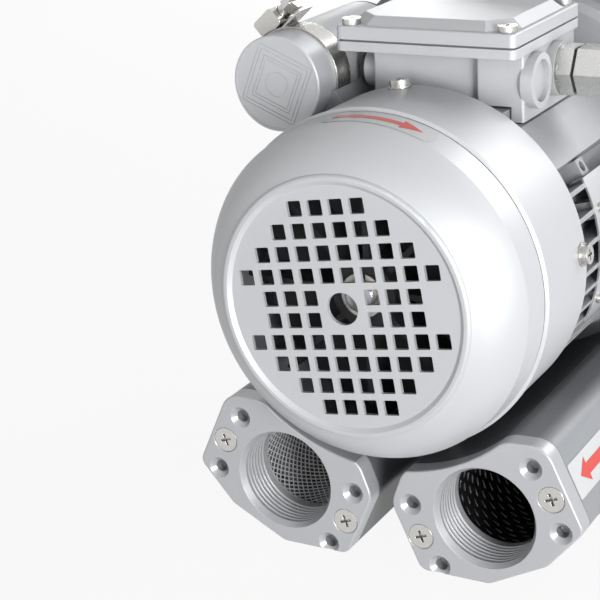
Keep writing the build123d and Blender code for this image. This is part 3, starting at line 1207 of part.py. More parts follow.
with BuildPart() as box_screws:
    for across, depth in LID_SCREWS:
        pan_screw(across, depth, LID_TOP_Z, LID_TOP_Z - FLANGE_Z)
    for across, depth in BOX_SCREWS:
        pan_screw(across, depth, FLOOR_Z, FLOOR_Z - PAD_Z + BOX_SCREW_L - 0.5)
    for depth in CRADLE_SCREW_Y:
        with BuildSketch(shoulder_normal_plane(depth, CRADLE_SCREW_X, CRADLE_SEAT)):
            Circle(PAN_HEAD_R)
        extrude(amount=2.2)
        with BuildSketch(shoulder_normal_plane(depth, CRADLE_SCREW_X, CRADLE_SEAT)):
            Circle(M4_R)
        extrude(amount=-(CRADLE_SEAT + CRADLE_SCREW_L))
save("box_screws", box_screws)

with BuildPart() as terminal_block:
    block((-14.0, 14.0), (102.0, 126.0), TERMINAL_Z)
    for across in (-4.5, 4.5):
        block((across - 0.8, across + 0.8), (102.0, 126.0), (TERMINAL_Z[1], TERMINAL_Z[1] + 3.0))
    for across, depth in STUD_PLACES:
        upright(across, depth, TERMINAL_Z[0] + 3.0, TERMINAL_Z[1] + 1, M4_R + 0.05, mode=Mode.SUBTRACT)
save("terminal_block", terminal_block)

LINK_Y = 114.0
LINK_T = 1.0

with BuildPart() as terminal_studs:
    for across, depth in STUD_PLACES:
        upright(across, depth, TERMINAL_Z[0] + 3.0, TERMINAL_Z[1] + 8.0, M4_R)
        seat = TERMINAL_Z[1] + (LINK_T if across else 0.0) + RUN_FIT
        with BuildSketch(level(seat, depth, across)):
            RegularPolygon(7.0 / math.sqrt(3), 6, rotation=30)
            Circle(M4_R + RUN_FIT, mode=Mode.SUBTRACT)
        extrude(amount=3.2)
    for across in (-9.0, 9.0):
        with BuildSketch(level(TERMINAL_Z[1], LINK_Y, across)):
            Rectangle(6.4, 20.0)
            with Locations(*[(0, depth - LINK_Y) for depth in (107.5, 120.5)]):
                Circle(M4_R + RUN_FIT, mode=Mode.SUBTRACT)
        extrude(amount=LINK_T)
save("terminal_studs", terminal_studs)

# ---------------------------------------------------------------- cable gland
GLAND_X = BOX_RIGHT_X + ENTRY_BOSS_H
GLAND_WASHER_T = 1.2
GLAND_BASE_L = 5.6
GLAND_SEAL_L = 1.3
GLAND_CAP_L = 13.5
GLAND_DOME_L = 4.0
GLAND_THREAD_R = 7.9
GLAND_THREAD_L = 7.4
GLAND_BODY_R = 7.4
CABLE_HOLE_R = 4.3


def cross_bar(start, length, radius, depth, height, mode=Mode.ADD):
    """Round bar or hole along X."""
    with BuildSketch(side(start, depth, height)) as disc:
        Circle(radius)
    extrude(disc.sketch, amount=length, mode=mode)


def cross_hexagon(start, length, across_flats, depth, height, turn=0.0):
    """Hexagonal bar along X."""
    with BuildSketch(side(start, depth, height)) as hexagon:
        RegularPolygon(across_flats / math.sqrt(3), 6, rotation=turn)
    extrude(hexagon.sketch, amount=length)


GLAND_AT = (ENTRY_Y[1], ENTRY_Z)
gland_base_x = GLAND_X + GLAND_WASHER_T
gland_seal_x = gland_base_x + GLAND_BASE_L
gland_cap_x = gland_seal_x + GLAND_SEAL_L

with BuildPart() as gland_body:
    cross_hexagon(gland_base_x, GLAND_BASE_L, GLAND_HEX_AF, *GLAND_AT)
    cross_bar(gland_base_x - GLAND_THREAD_L, GLAND_THREAD_L, GLAND_THREAD_R, *GLAND_AT)
    cross_bar(gland_seal_x, GLAND_SEAL_L + 8.0, GLAND_BODY_R, *GLAND_AT)
    cross_bar(CAVITY_X[1] - 6, 60, CABLE_HOLE_R + 1.0, *GLAND_AT, mode=Mode.SUBTRACT)
save("gland_body", gland_body)

with BuildPart() as gland_washer:
    cross_bar(GLAND_X, GLAND_WASHER_T, ENTRY_BOSS_R - 0.9, *GLAND_AT)
    cross_bar(GLAND_X - 1, GLAND_WASHER_T + 2, GLAND_THREAD_R, *GLAND_AT, mode=Mode.SUBTRACT)
save("gland_washer", gland_washer)

with BuildPart() as gland_cap:
    cross_hexagon(gland_cap_x, GLAND_CAP_L, GLAND_HEX_AF, *GLAND_AT)
    cross_bar(gland_cap_x + GLAND_CAP_L, GLAND_DOME_L, GLAND_HEX_AF / 2 - 1.2, *GLAND_AT)
    dome = gland_cap.faces().sort_by(Axis.X)[-1].edges()
    fillet(dome, 2.6)
    cross_bar(gland_cap_x - 1, 9.5, GLAND_BODY_R + 0.1, *GLAND_AT, mode=Mode.SUBTRACT)
    cross_bar(gland_cap_x - 1, 60, CABLE_HOLE_R + 1.6, *GLAND_AT, mode=Mode.SUBTRACT)
save("gland_cap", gland_cap)

with BuildPart() as gland_seal:
    cross_bar(gland_seal_x, GLAND_SEAL_L, GLAND_HEX_AF / 2 - 0.4, *GLAND_AT)
    cross_bar(gland_seal_x - 1, GLAND_SEAL_L + 2, GLAND_BODY_R, *GLAND_AT, mode=Mode.SUBTRACT)
    seal_start = gland_seal_x + GLAND_SEAL_L + 8.0 + 0.2
    cross_bar(seal_start, GLAND_CAP_L + GLAND_DOME_L - 8.6, CABLE_HOLE_R + 1.6, *GLAND_AT)
    cross_bar(seal_start - 1, 40, CABLE_HOLE_R, *GLAND_AT, mode=Mode.SUBTRACT)
save("gland_seal", gland_seal)

with BuildPart() as lead_grommet:
    cross_bar(BOX_LEFT_X - BUSH_H - 2.0, 2.0, BUSH_R - 1.0, BUSH_Y, ENTRY_Z)
    cross_bar(BOX_LEFT_X - BUSH_H, BUSH_H, BUSH_BORE_R, BUSH_Y, ENTRY_Z)
    cross_bar(BOX_LEFT_X - BUSH_H - 3.0, 20, 2.4, BUSH_Y, ENTRY_Z, mode=Mode.SUBTRACT)
save("lead_grommet", lead_grommet)

# ---------------------------------------------------------------- capacitor
CAN_BACK_Y = CAN_FRONT_Y + CAN_L
CELL_R = CAN_R - CAN_WALL - 0.3
EMBOSS_TURN = -22.5
EMBOSS_OUTER = 25.3
EMBOSS_INNER = 18.2
EMBOSS_LINE = 0.9
EMBOSS_DEPTH = 0.35
HOUSING_ANGLE = 108.0
WORM_TILT = 24.0

with BuildPart() as capacitor_cover:
    round_bar(CAN_FRONT_Y, CAN_BACK_Y, CAN_R, CAN_X, CAN_Z)
    fillet(capacitor_cover.faces().sort_by(Axis.Y)[0].edges(), 0.7)
    round_bar(CAN_FRONT_Y + CAN_WALL, CAN_BACK_Y + 1, CAN_R - CAN_WALL, CAN_X, CAN_Z, mode=Mode.SUBTRACT)
    round_bar(CAN_FRONT_Y - 1, CAN_FRONT_Y + 0.3, CAN_R - 1.2, CAN_X, CAN_Z, mode=Mode.SUBTRACT)
    with BuildSketch(station(CAN_FRONT_Y, CAN_X, CAN_Z, EMBOSS_TURN)):
        for size in (EMBOSS_OUTER, EMBOSS_OUTER - 3.0, EMBOSS_INNER, EMBOSS_INNER - 2.6):
            Rectangle(size, size)
            Rectangle(size - EMBOSS_LINE, size - EMBOSS_LINE, mode=Mode.SUBTRACT)
        Circle(5.2)
        Circle(4.6, mode=Mode.SUBTRACT)
    extrude(amount=-(0.3 + EMBOSS_DEPTH), mode=Mode.SUBTRACT)
save("capacitor_cover", capacitor_cover)

with BuildPart() as capacitor_cell:
    round_bar(CAN_FRONT_Y + CAN_WALL + 0.4, CAN_BACK_Y - 7.0, CELL_R, CAN_X, CAN_Z)
    tab_y = (CAN_BACK_Y - 7.0, CAN_BACK_Y - 4.2)
    for across in (CAN_X - 5.0, CAN_X + 5.0):
        block((across - 0.4, across + 0.4), tab_y, (CAN_Z - 3, CAN_Z + 3))
save("capacitor_cell", capacitor_cell)

with BuildPart() as capacitor_end_cap:
    round_bar(CAN_BACK_Y - 3.0, CAN_BACK_Y, CELL_R + 0.3, CAN_X, CAN_Z)
    round_bar(CAN_BACK_Y, CAN_BACK_Y + 1.6, CAN_R, CAN_X, CAN_Z)
    round_bar(CAN_BACK_Y + 1.6, CAN_BACK_Y + 7.0, 5.0, CAN_X, CAN_Z)
    round_bar(CAN_BACK_Y - 4, CAN_BACK_Y + 8.0, 2.6, CAN_X, CAN_Z, mode=Mode.SUBTRACT)
save("capacitor_end_cap", capacitor_end_cap)

WORM_RISE = 2.8
WORM_R = 3.0
TONGUE_L = 11.0


def housing_plane(depth, lift=0.0):
    """Cross-section plane whose local X runs along the clamp's worm and local Y away from the can."""
    across, up = polar(CAN_R + BAND_T + lift, HOUSING_ANGLE)
    return station(depth, CAN_X + across, CAN_Z + up, HOUSING_ANGLE - 90 + WORM_TILT)


with BuildPart() as clamp_band:
    round_bar(BAND_Y, BAND_Y + BAND_W, CAN_R + BAND_T, CAN_X, CAN_Z)
    with BuildSketch(housing_plane(BAND_Y)):
        with Locations((7.5, -1.3)):
            Rectangle(TONGUE_L, BAND_T)
    extrude(amount=-BAND_W)
    round_bar(BAND_Y - 1, BAND_Y + BAND_W + 1, CAN_R, CAN_X, CAN_Z, mode=Mode.SUBTRACT)
save("clamp_band", clamp_band)

with BuildPart() as clamp_housing:
    with BuildSketch(housing_plane(BAND_Y - 0.8, 0.3)):
        with Locations((-2.0, (WORM_RISE + WORM_R) / 2 + 1.0)):
            RectangleRounded(11.0, WORM_RISE + WORM_R + 2.0, 1.6)
    extrude(amount=-(BAND_W + 1.6))
    round_bar(BAND_Y - 2, BAND_Y + BAND_W + 2, CAN_R + BAND_T + 0.05, CAN_X, CAN_Z, mode=Mode.SUBTRACT)
    worm_axis = Plane(
        origin=housing_plane(BAND_Y + BAND_W / 2, WORM_RISE + 1.6).origin,
        x_dir=(0, 1, 0),
        z_dir=housing_plane(0).x_dir,
    )
    with BuildSketch(worm_axis.offset(-20)):
        Circle(WORM_R + 0.2)
    extrude(amount=40, mode=Mode.SUBTRACT)
save("clamp_housing", clamp_housing)

with BuildPart() as clamp_screw:
    with BuildSketch(worm_axis.offset(-4.0)):
        Circle(WORM_R)
    extrude(amount=9.0)
    with BuildSketch(worm_axis.offset(5.0)):
        RegularPolygon(7.0 / math.sqrt(3), 6)
    extrude(amount=5.0)
    with BuildSketch(worm_axis.offset(8.8)):
        Rectangle(8.4, 1.0)
    extrude(amount=2.0, mode=Mode.SUBTRACT)
save("clamp_screw", clamp_screw)

with BuildPart() as capacitor_cradle:
    with BuildSketch(shoulder_plane(CRADLE_Y[0])):
        with Locations((CAN_SHIFT, CRADLE_H / 2)):
            Rectangle(2 * CRADLE_HALF_W, CRADLE_H)
    extrude(amount=CRADLE_Y[0] - CRADLE_Y[1])
    round_bar(CRADLE_Y[0] - 1, CRADLE_Y[1] + 1, CAN_R, CAN_X, CAN_Z, mode=Mode.SUBTRACT)
    round_bar(BAND_Y - 0.5, BAND_Y + BAND_W + 0.5, CAN_R + BAND_T + 0.2, CAN_X, CAN_Z, mode=Mode.SUBTRACT)
    for depth in CRADLE_SCREW_Y:
        with BuildSketch(shoulder_normal_plane(depth, CRADLE_SCREW_X, -1)):
            Circle(M4_R + 0.3)
        extrude(amount=20, mode=Mode.SUBTRACT)
        with BuildSketch(shoulder_normal_plane(depth, CRADLE_SCREW_X, 2.0)):
            Circle(4.2)
        extrude(amount=20, mode=Mode.SUBTRACT)
save("capacitor_cradle", capacitor_cradle)

# ---------------------------------------------------------------- nameplate
PLATE_T = 0.8
PLATE_R = FIN_TIP_R + 0.05
PLATE_TOP_ANGLE = 27.4
PLATE_BOTTOM_ANGLE = -25.0
RIVET_HEAD_R = 2.1
RIVET_HEAD_H = 1.0

with BuildPart() as nameplate:
    with BuildSketch(station(PLATE_Y[0])) as band:
        with BuildLine():
            CenterArc((0, 0), PLATE_R, PLATE_BOTTOM_ANGLE, PLATE_TOP_ANGLE - PLATE_BOTTOM_ANGLE)
            CenterArc((0, 0), PLATE_R + PLATE_T, PLATE_BOTTOM_ANGLE, PLATE_TOP_ANGLE - PLATE_BOTTOM_ANGLE)
            for angle in (PLATE_BOTTOM_ANGLE, PLATE_TOP_ANGLE):
                Line(polar(PLATE_R, angle), polar(PLATE_R + PLATE_T, angle))
        make_face()
    extrude(amount=PLATE_Y[0] - PLATE_Y[1])
    for angle in LUG_ANGLES:
        for depth in LUG_Y:
            with BuildSketch(radial_plane(angle, depth, PLATE_R - 1)):
                Circle(RIVET_R + 0.1)
            extrude(amount=3.0, mode=Mode.SUBTRACT)
save("nameplate", nameplate)

with BuildPart() as nameplate_rivets:
    for angle in LUG_ANGLES:
        for depth in LUG_Y:
            with BuildSketch(radial_plane(angle, depth, PLATE_R + PLATE_T + 0.05)):
                Circle(RIVET_HEAD_R)
            extrude(amount=RIVET_HEAD_H)
            with BuildSketch(radial_plane(angle, depth, FIN_TIP_R - 4.5)):
                Circle(RIVET_R)
            extrude(amount=PLATE_R + PLATE_T - FIN_TIP_R + 4.6)
save("nameplate_rivets", nameplate_rivets)
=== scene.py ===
"""Dressed model of a side channel blower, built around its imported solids.

Lengths are in metres. X runs across the machine, Y from the fan cover to the impeller casing,
Z is up, and the origin is the centre of the foot holes on the floor.
"""
import logging
import math
from collections.abc import Callable, Sequence
from dataclasses import dataclass
from enum import Enum

import bpy
from mathutils import Matrix, Vector


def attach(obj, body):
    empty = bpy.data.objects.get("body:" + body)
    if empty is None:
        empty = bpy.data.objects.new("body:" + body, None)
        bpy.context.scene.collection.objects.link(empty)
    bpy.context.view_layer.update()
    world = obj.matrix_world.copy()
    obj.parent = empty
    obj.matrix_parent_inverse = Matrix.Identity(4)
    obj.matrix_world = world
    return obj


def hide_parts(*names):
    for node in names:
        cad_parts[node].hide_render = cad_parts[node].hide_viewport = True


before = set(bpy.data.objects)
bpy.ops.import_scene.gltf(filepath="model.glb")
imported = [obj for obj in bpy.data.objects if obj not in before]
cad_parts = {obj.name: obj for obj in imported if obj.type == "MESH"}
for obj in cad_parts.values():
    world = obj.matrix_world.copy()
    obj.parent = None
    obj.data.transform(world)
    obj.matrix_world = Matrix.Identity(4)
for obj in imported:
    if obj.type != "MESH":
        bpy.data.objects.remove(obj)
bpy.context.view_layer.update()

log = logging.getLogger("blower")

MM = 0.001
AXIS_H = 123.0 * MM
FACE_Y = -172.0 * MM
PORT_X = 43.4 * MM
PORT_Z = 35.4 * MM  # above the floor
Point = tuple[float, float, float]
Color = tuple[float, float, float]


# ---------------------------------------------------------------- shader expressions
class Value:
    """A shader socket that takes part in arithmetic; each operation adds one Math node."""

    def __init__(self, tree: bpy.types.NodeTree, socket: bpy.types.NodeSocket) -> None:
        """Keeps the tree that new nodes join and the socket that holds the value.

        Args:
            tree: the node tree.
            socket: the output socket.
        """
        self.tree = tree
        self.socket = socket

    def math(self, operation: str, *others: "Value | float") -> "Value":
        """Adds a Math node fed by this value and the others.

        Args:
            operation: the Math node's operation.
            others: further values or numbers, in socket order.

        Returns:
            The node's output as a value.
        """
        node = self.tree.nodes.new("ShaderNodeMath")
        node.operation = operation
        for place, item in enumerate((self, *others)):
            if isinstance(item, Value):
                self.tree.links.new(item.socket, node.inputs[place])
            else:
                node.inputs[place].default_value = item
        return Value(self.tree, node.outputs[0])

    def __add__(self, other: "Value | float") -> "Value":
        """Sum."""
        return self.math("ADD", other)

    __radd__ = __add__

    def __mul__(self, other: "Value | float") -> "Value":
        """Product."""
        return self.math("MULTIPLY", other)

    __rmul__ = __mul__

    def __sub__(self, other: "Value | float") -> "Value":
        """Difference."""
        return self.math("SUBTRACT", other)

    def __rsub__(self, other: float) -> "Value":
        """A number less this value."""
        return self.math("MULTIPLY", -1.0).math("ADD", other)

    def __truediv__(self, other: "Value | float") -> "Value":
        """Quotient."""
        return self.math("DIVIDE", other)

    def __pow__(self, other: float) -> "Value":
        """Power."""
        return self.math("POWER", other)

    def clamp(self) -> "Value":
        """Limits the value to 0..1."""
        node = self.tree.nodes.new("ShaderNodeClamp")
        self.tree.links.new(self.socket, node.inputs[0])
        return Value(self.tree, node.outputs[0])

    def spread(self, low: float, high: float) -> "Value":
        """Stretches low..high to 0..1 and clamps it."""
        return ((self - low) / (high - low)).clamp()


class Graph:
    """The node tree of one material, with one method that makes any node."""

    def __init__(self, name: str) -> None:
        """Starts a material with a Principled shader and Object coordinates.

        Args:
            name: the material's name.
        """
        self.material = bpy.data.materials.new(name)
        self.material.use_nodes = True
        self.tree = self.material.node_tree
        self.shader = self.tree.nodes["Principled BSDF"]
        self.place = self.node("ShaderNodeTexCoord").outputs["Object"]

    def node(
        self, kind: str, settings: dict | None = None, sockets: dict | None = None
    ) -> bpy.types.Node:
        """Adds a node, sets it up and fills its sockets.

        Args:
            kind: the node's type name.
            settings: properties set before the sockets are filled.
            sockets: values, Value objects or output sockets, by input name or index.

        Returns:
            The new node.
        """
        made = self.tree.nodes.new(kind)
        for key, setting in (settings or {}).items():
            setattr(made, key, setting)
        for key, item in (sockets or {}).items():
            target = made.inputs[key]
            source = item.socket if isinstance(item, Value) else item
            if isinstance(source, bpy.types.NodeSocket):
                self.tree.links.new(source, target)
            else:
                target.default_value = source
        return made

    def value(self, node: bpy.types.Node, output: str | int = 0) -> Value:
        """A node's output as a value."""
        return Value(self.tree, node.outputs[output])

    def noise(
        self, scale: float, detail: float = 2.0, where: bpy.types.NodeSocket | None = None
    ) -> Value:
        """Noise on the piece's own coordinates, from 0 to 1.

        Args:
            scale: features per metre.
            detail: octaves of finer noise.
            where: coordinates to read in place of the plain ones.

        Returns:
            The noise value.
        """
        sockets = {"Vector": where or self.place, "Scale": scale, "Detail": detail}
        return self.value(self.node("ShaderNodeTexNoise", {}, sockets))

    def stretched(self, scale: Point) -> bpy.types.NodeSocket:
        """Object coordinates scaled by axis, for streaks."""
        return self.node("ShaderNodeMapping", {}, {"Vector": self.place, "Scale": scale}).outputs[0]

    def blend(self, factor: Value, low: object, high: object) -> bpy.types.NodeSocket:
        """Mixes two colours by a value.

        Args:
            factor: 0 for the low colour, 1 for the high one.
            low: colour or colour socket.
            high: colour or colour socket.

        Returns:
            The mixed colour socket.
        """
        made = self.node("ShaderNodeMix", {"data_type": "RGBA"}, {0: factor})
        for place, item in ((6, low), (7, high)):
            if isinstance(item, bpy.types.NodeSocket):
                self.tree.links.new(item, made.inputs[place])
            else:
                made.inputs[place].default_value = (*item, 1.0)
        return made.outputs[2]

    def feed(self, name: str, item: object) -> None:
        """Sets or links one of the shader's sockets.

        Args:
            name: the socket's name.
            item: a number, a colour, a value or an output socket.
        """
        target = self.shader.inputs[name]
        source = item.socket if isinstance(item, Value) else item
        if isinstance(source, bpy.types.NodeSocket):
            self.tree.links.new(source, target)
        elif isinstance(source, tuple) and len(source) == 3:
            target.default_value = (*source, 1.0)
        else:
            target.default_value = source


CLOUD_SHARE = 0.7  # how much of the colour's unevenness comes from the broad noise
FINE_SHARE = 0.3  # and how much from the fine noise
FLAKE_SCALE = 5200.0
FLAKE_RANGE = (0.55, 0.75)
FLAKE_COLOR = (0.95, 0.95, 0.97)
# edges are lightened partly as wear and partly as a painted highlight
EDGE_WEAR_AND_HIGHLIGHT_RANGE = (0.01, 0.22)
EDGE_WEAR_AND_HIGHLIGHT_GAIN = 1.35
EDGE_WEAR_AND_HIGHLIGHT_LIFT = 0.06
# colour of the painted shade in corners, as a share of the finish's colour
CORNER_SHADE_DIM = 0.12
ROUGH_FINE_SHARE = 0.6
ROUGH_CENTRE = 0.8


class Grain(Enum):
    """How a finish's fine texture runs."""

    EVEN = (1.0, 1.0, 1.0)
    ALONG_X = (0.03, 1.0, 1.0)
    ALONG_Y = (1.0, 0.03, 1.0)
    ALONG_Z = (1.0, 1.0, 0.03)


@dataclass(frozen=True)
class Finish:
    """One surface finish: colour, gloss, texture, edges lightened as wear and painted highlight,
    and painted shade darkening the corners.

    Lengths (grain_depth, edge_round, shade_reach) are in millimetres, scales in features per metre.
    """

    name: str
    color: Color
    metallic: float = 0.0
    roughness: float = 0.5
    rough_spread: float = 0.08
    mottle: float = 0.06
    mottle_scale: float = 45.0
    grain_scale: float = 1800.0
    grain_depth: float = 0.02
    grain: Grain = Grain.EVEN
    flake: float = 0.0
    edge: float = 0.10
    edge_round: float = 0.35
    coat: float = 0.0
    shade: float = 0.55
    shade_reach: float = 9.0
    tint: float = 1.0
    gloss: float = 0.5

    def build(self) -> bpy.types.Material:
        """Makes the material, once.

        Returns:
            The material of this finish.
        """
        known = bpy.data.materials.get(self.name)
        if known:
            return known
        graph = Graph(self.name)
        clouds = graph.noise(self.mottle_scale, 3.0)
        fine = graph.noise(self.grain_scale, 2.0, graph.stretched(self.grain.value))
        dark = tuple(part * (1.0 - self.mottle) for part in self.color)
        light = tuple(min(1.0, part * (1.0 + self.mottle)) for part in self.color)
        uneven = (clouds * CLOUD_SHARE + fine * FINE_SHARE).clamp()
        surface = graph.blend(uneven, dark, light)
        if self.flake:
            specks = graph.noise(FLAKE_SCALE, 0.0).spread(*FLAKE_RANGE)
            surface = graph.blend(specks * self.flake, surface, FLAKE_COLOR)
        rounded = graph.node("ShaderNodeBevel", {"samples": 4}, {"Radius": self.edge_round * MM})
        flat = graph.node("ShaderNodeNewGeometry")
        turn = graph.node(
            "ShaderNodeVectorMath",
            {"operation": "DOT_PRODUCT"},
            {0: rounded.outputs[0], 1: flat.outputs["Normal"]},
        )
        # Edges lightened towards a paler colour: partly wear, partly a painted highlight on rounded
        # edges.
        worn_and_lit_edge = (1.0 - graph.value(turn, "Value")).spread(*EDGE_WEAR_AND_HIGHLIGHT_RANGE) * self.edge
        edge_wear_and_highlight_color = tuple(min(1.0, part * EDGE_WEAR_AND_HIGHLIGHT_GAIN + EDGE_WEAR_AND_HIGHLIGHT_LIFT) for part in self.color)
        surface = graph.blend(worn_and_lit_edge, surface, edge_wear_and_highlight_color)
        # Painted shade: the colour darkens towards a dim copy where ambient occlusion finds
        # corners, creases and nearby parts.
        if self.shade:
            reach = {"Distance": self.shade_reach * MM}
            corner = graph.node("ShaderNodeAmbientOcclusion", {"samples": 6}, reach)
            painted_corner_shade = (1.0 - graph.value(corner, "AO")) * self.shade
            dim = tuple(part * CORNER_SHADE_DIM for part in self.color)
            surface = graph.blend(painted_corner_shade, surface, dim)
        graph.feed("Base Color", surface)
        graph.feed("Metallic", self.metallic)
        graph.feed("Specular Tint", (self.tint, self.tint, self.tint))
        graph.feed("Specular IOR Level", self.gloss)
        rough = clouds * self.rough_spread + fine * (self.rough_spread * ROUGH_FINE_SHARE)
        graph.feed("Roughness", rough + (self.roughness - self.rough_spread * ROUGH_CENTRE))
        graph.feed("Coat Weight", self.coat)
        bump = graph.node(
            "ShaderNodeBump",
            {},
            {
                "Strength": 1.0,
                "Distance": self.grain_depth * MM,
                "Height": fine,
                "Normal": rounded.outputs[0],
            },
        )
        graph.feed("Normal", bump.outputs[0])
        return graph.material


SILVER = Finish(
    name="silver_paint",
    color=(0.44, 0.45, 0.47),
    metallic=0.12, roughness=0.30, rough_spread=0.05, mottle=0.03, mottle_scale=25.0,
    grain_scale=2600.0, grain_depth=0.003, flake=0.08, tint=0.3, gloss=0.2,
)
# Painted shade on the ducts: the silver paint again, darker and with a long-reaching corner shade,
# for their place under the motor.
SHADED_DUCT_PAINT = Finish(
    name="silver_on_duct_painted_shade",
    color=(0.34, 0.35, 0.37),
    metallic=0.10, roughness=0.36, rough_spread=0.06, mottle=0.04, mottle_scale=30.0,
    grain_scale=2200.0, grain_depth=0.004, flake=0.08, shade=0.9, shade_reach=40.0, tint=0.3,
    gloss=0.25,
)
# Painted light on the terminal box base: the casting's paint again, lighter, for its front under
# the lid.
LIT_BOX_PAINT = Finish(
    name="silver_on_box_painted_light",
    color=(0.60, 0.61, 0.63),
    metallic=0.14, roughness=0.42, rough_spread=0.10, mottle=0.07, mottle_scale=70.0,
    grain_scale=900.0, grain_depth=0.025, flake=0.12, tint=0.5,
)
CAST = Finish(
    name="silver_on_casting",
    color=(0.42, 0.43, 0.45),
    metallic=0.14, roughness=0.42, rough_spread=0.10, mottle=0.07, mottle_scale=70.0,
    grain_scale=900.0, grain_depth=0.025, flake=0.12, tint=0.5,
)
FACED = Finish(
    name="machined_flange",
    color=(0.52, 0.525, 0.545),
    metallic=0.30, roughness=0.34, rough_spread=0.05, mottle=0.03, mottle_scale=30.0,
    grain_scale=2600.0, grain_depth=0.003, edge=0.5, tint=0.7,
)
ZINC = Finish(
    name="zinc_plate",
    color=(0.60, 0.59, 0.565),
    metallic=0.90, roughness=0.26, rough_spread=0.10, mottle=0.06, mottle_scale=400.0,
    grain_scale=3000.0, grain_depth=0.008,
)
STEEL = Finish(
    name="ground_steel",
    color=(0.52, 0.52, 0.53),
    metallic=1.0, roughness=0.28, rough_spread=0.10, mottle=0.05, mottle_scale=200.0,
    grain_scale=2500.0, grain_depth=0.010, grain=Grain.ALONG_X,
)
WIRE = Finish(
    name="bright_wire",
    color=(0.90, 0.90, 0.91),
    metallic=0.5, roughness=0.30, rough_spread=0.10, mottle=0.05, mottle_scale=300.0,
    grain_scale=2500.0, grain_depth=0.004, edge_round=0.0, shade=0.0,
)
BARE = Finish(
    name="bare_aluminium",
    color=(0.50, 0.505, 0.51),
    metallic=0.9, roughness=0.36, rough_spread=0.10, mottle=0.05, mottle_scale=120.0,
    grain_scale=3000.0, grain_depth=0.008, grain=Grain.ALONG_Y,
)
CORE = Finish(
    name="core_sheet",
    color=(0.20, 0.20, 0.22),
    metallic=0.7, roughness=0.45, rough_spread=0.10, mottle=0.10, mottle_scale=200.0,
    grain_scale=2500.0, grain_depth=0.02, grain=Grain.ALONG_X,
)
COPPER = Finish(
    name="wound_copper",
    color=(0.50, 0.22, 0.10),
    metallic=0.8, roughness=0.35, rough_spread=0.10, mottle=0.15, mottle_scale=500.0,
    grain_scale=1500.0, grain_depth=0.05, grain=Grain.ALONG_Y,
)
BRASS = Finish(
    name="plain_brass",
    color=(0.70, 0.52, 0.24),
    metallic=1.0, roughness=0.30, rough_spread=0.10, mottle=0.06, mottle_scale=300.0,
    grain_scale=2000.0, grain_depth=0.01,
)
NICKEL = Finish(
    name="nickel_plate",
    color=(0.66, 0.655, 0.64),
    metallic=0.85, roughness=0.28, rough_spread=0.12, mottle=0.06, mottle_scale=300.0,
    grain_scale=2500.0, grain_depth=0.004, grain=Grain.ALONG_X,
)
BLACK = Finish(
    name="black_plastic",
    color=(0.025, 0.025, 0.028),
    metallic=0.0, roughness=0.42, rough_spread=0.12, mottle=0.10, mottle_scale=120.0,
    grain_scale=1600.0, grain_depth=0.02,
)
# Its edge setting lightens the tube's edges as a painted highlight.
LACQUER = Finish(
    name="black_lacquer",
    color=(0.012, 0.012, 0.013),
    metallic=0.0, roughness=0.22, rough_spread=0.10, mottle=0.10, mottle_scale=200.0,
    grain_scale=1600.0, grain_depth=0.01, edge=0.5,
)
RUBBER = Finish(
    name="black_rubber",
    color=(0.020, 0.020, 0.020),
    metallic=0.0, roughness=0.62, rough_spread=0.10, mottle=0.12, mottle_scale=150.0,
    grain_scale=1200.0, grain_depth=0.04,
)
SEAM = Finish(
    name="grey_gasket_sheet",
    color=(0.24, 0.245, 0.25),
    metallic=0.0, roughness=0.70, rough_spread=0.08, mottle=0.12, mottle_scale=200.0,
    grain_scale=1500.0, grain_depth=0.02,
)
SHADE = Finish(
    name="shaded_groove",
    color=(0.075, 0.077, 0.08),
    metallic=0.0, roughness=0.6, rough_spread=0.08, mottle=0.10, mottle_scale=120.0,
    grain_scale=900.0, grain_depth=0.01, edge=0.0, shade=0.0, gloss=0.2,
)
LIPS = Finish(
    name="worn_black_lips",
    color=(0.10, 0.10, 0.105),
    metallic=0.6, roughness=0.25, rough_spread=0.10, mottle=0.10, mottle_scale=200.0,
    grain_scale=1600.0, grain_depth=0.01, edge=0.0, shade=0.0,
)
FOAM = Finish(
    name="grey_foam",
    color=(0.030, 0.030, 0.033),
    metallic=0.0, roughness=0.95, rough_spread=0.03, mottle=0.4, mottle_scale=700.0,
    grain_scale=900.0, grain_depth=0.6,
)
LABEL = Finish(
    name="label_film",
    color=(0.66, 0.67, 0.68),
    metallic=0.0, roughness=0.30, rough_spread=0.06, mottle=0.02, mottle_scale=60.0,
    grain_scale=900.0, grain_depth=0.002, edge=0.0, coat=0.3,
)
RED = Finish(
    name="red_print",
    color=(0.72, 0.045, 0.03),
    metallic=0.0, roughness=0.32, rough_spread=0.06, mottle=0.05, mottle_scale=60.0,
    grain_scale=900.0, grain_depth=0.002, edge=0.0, coat=0.3,
)

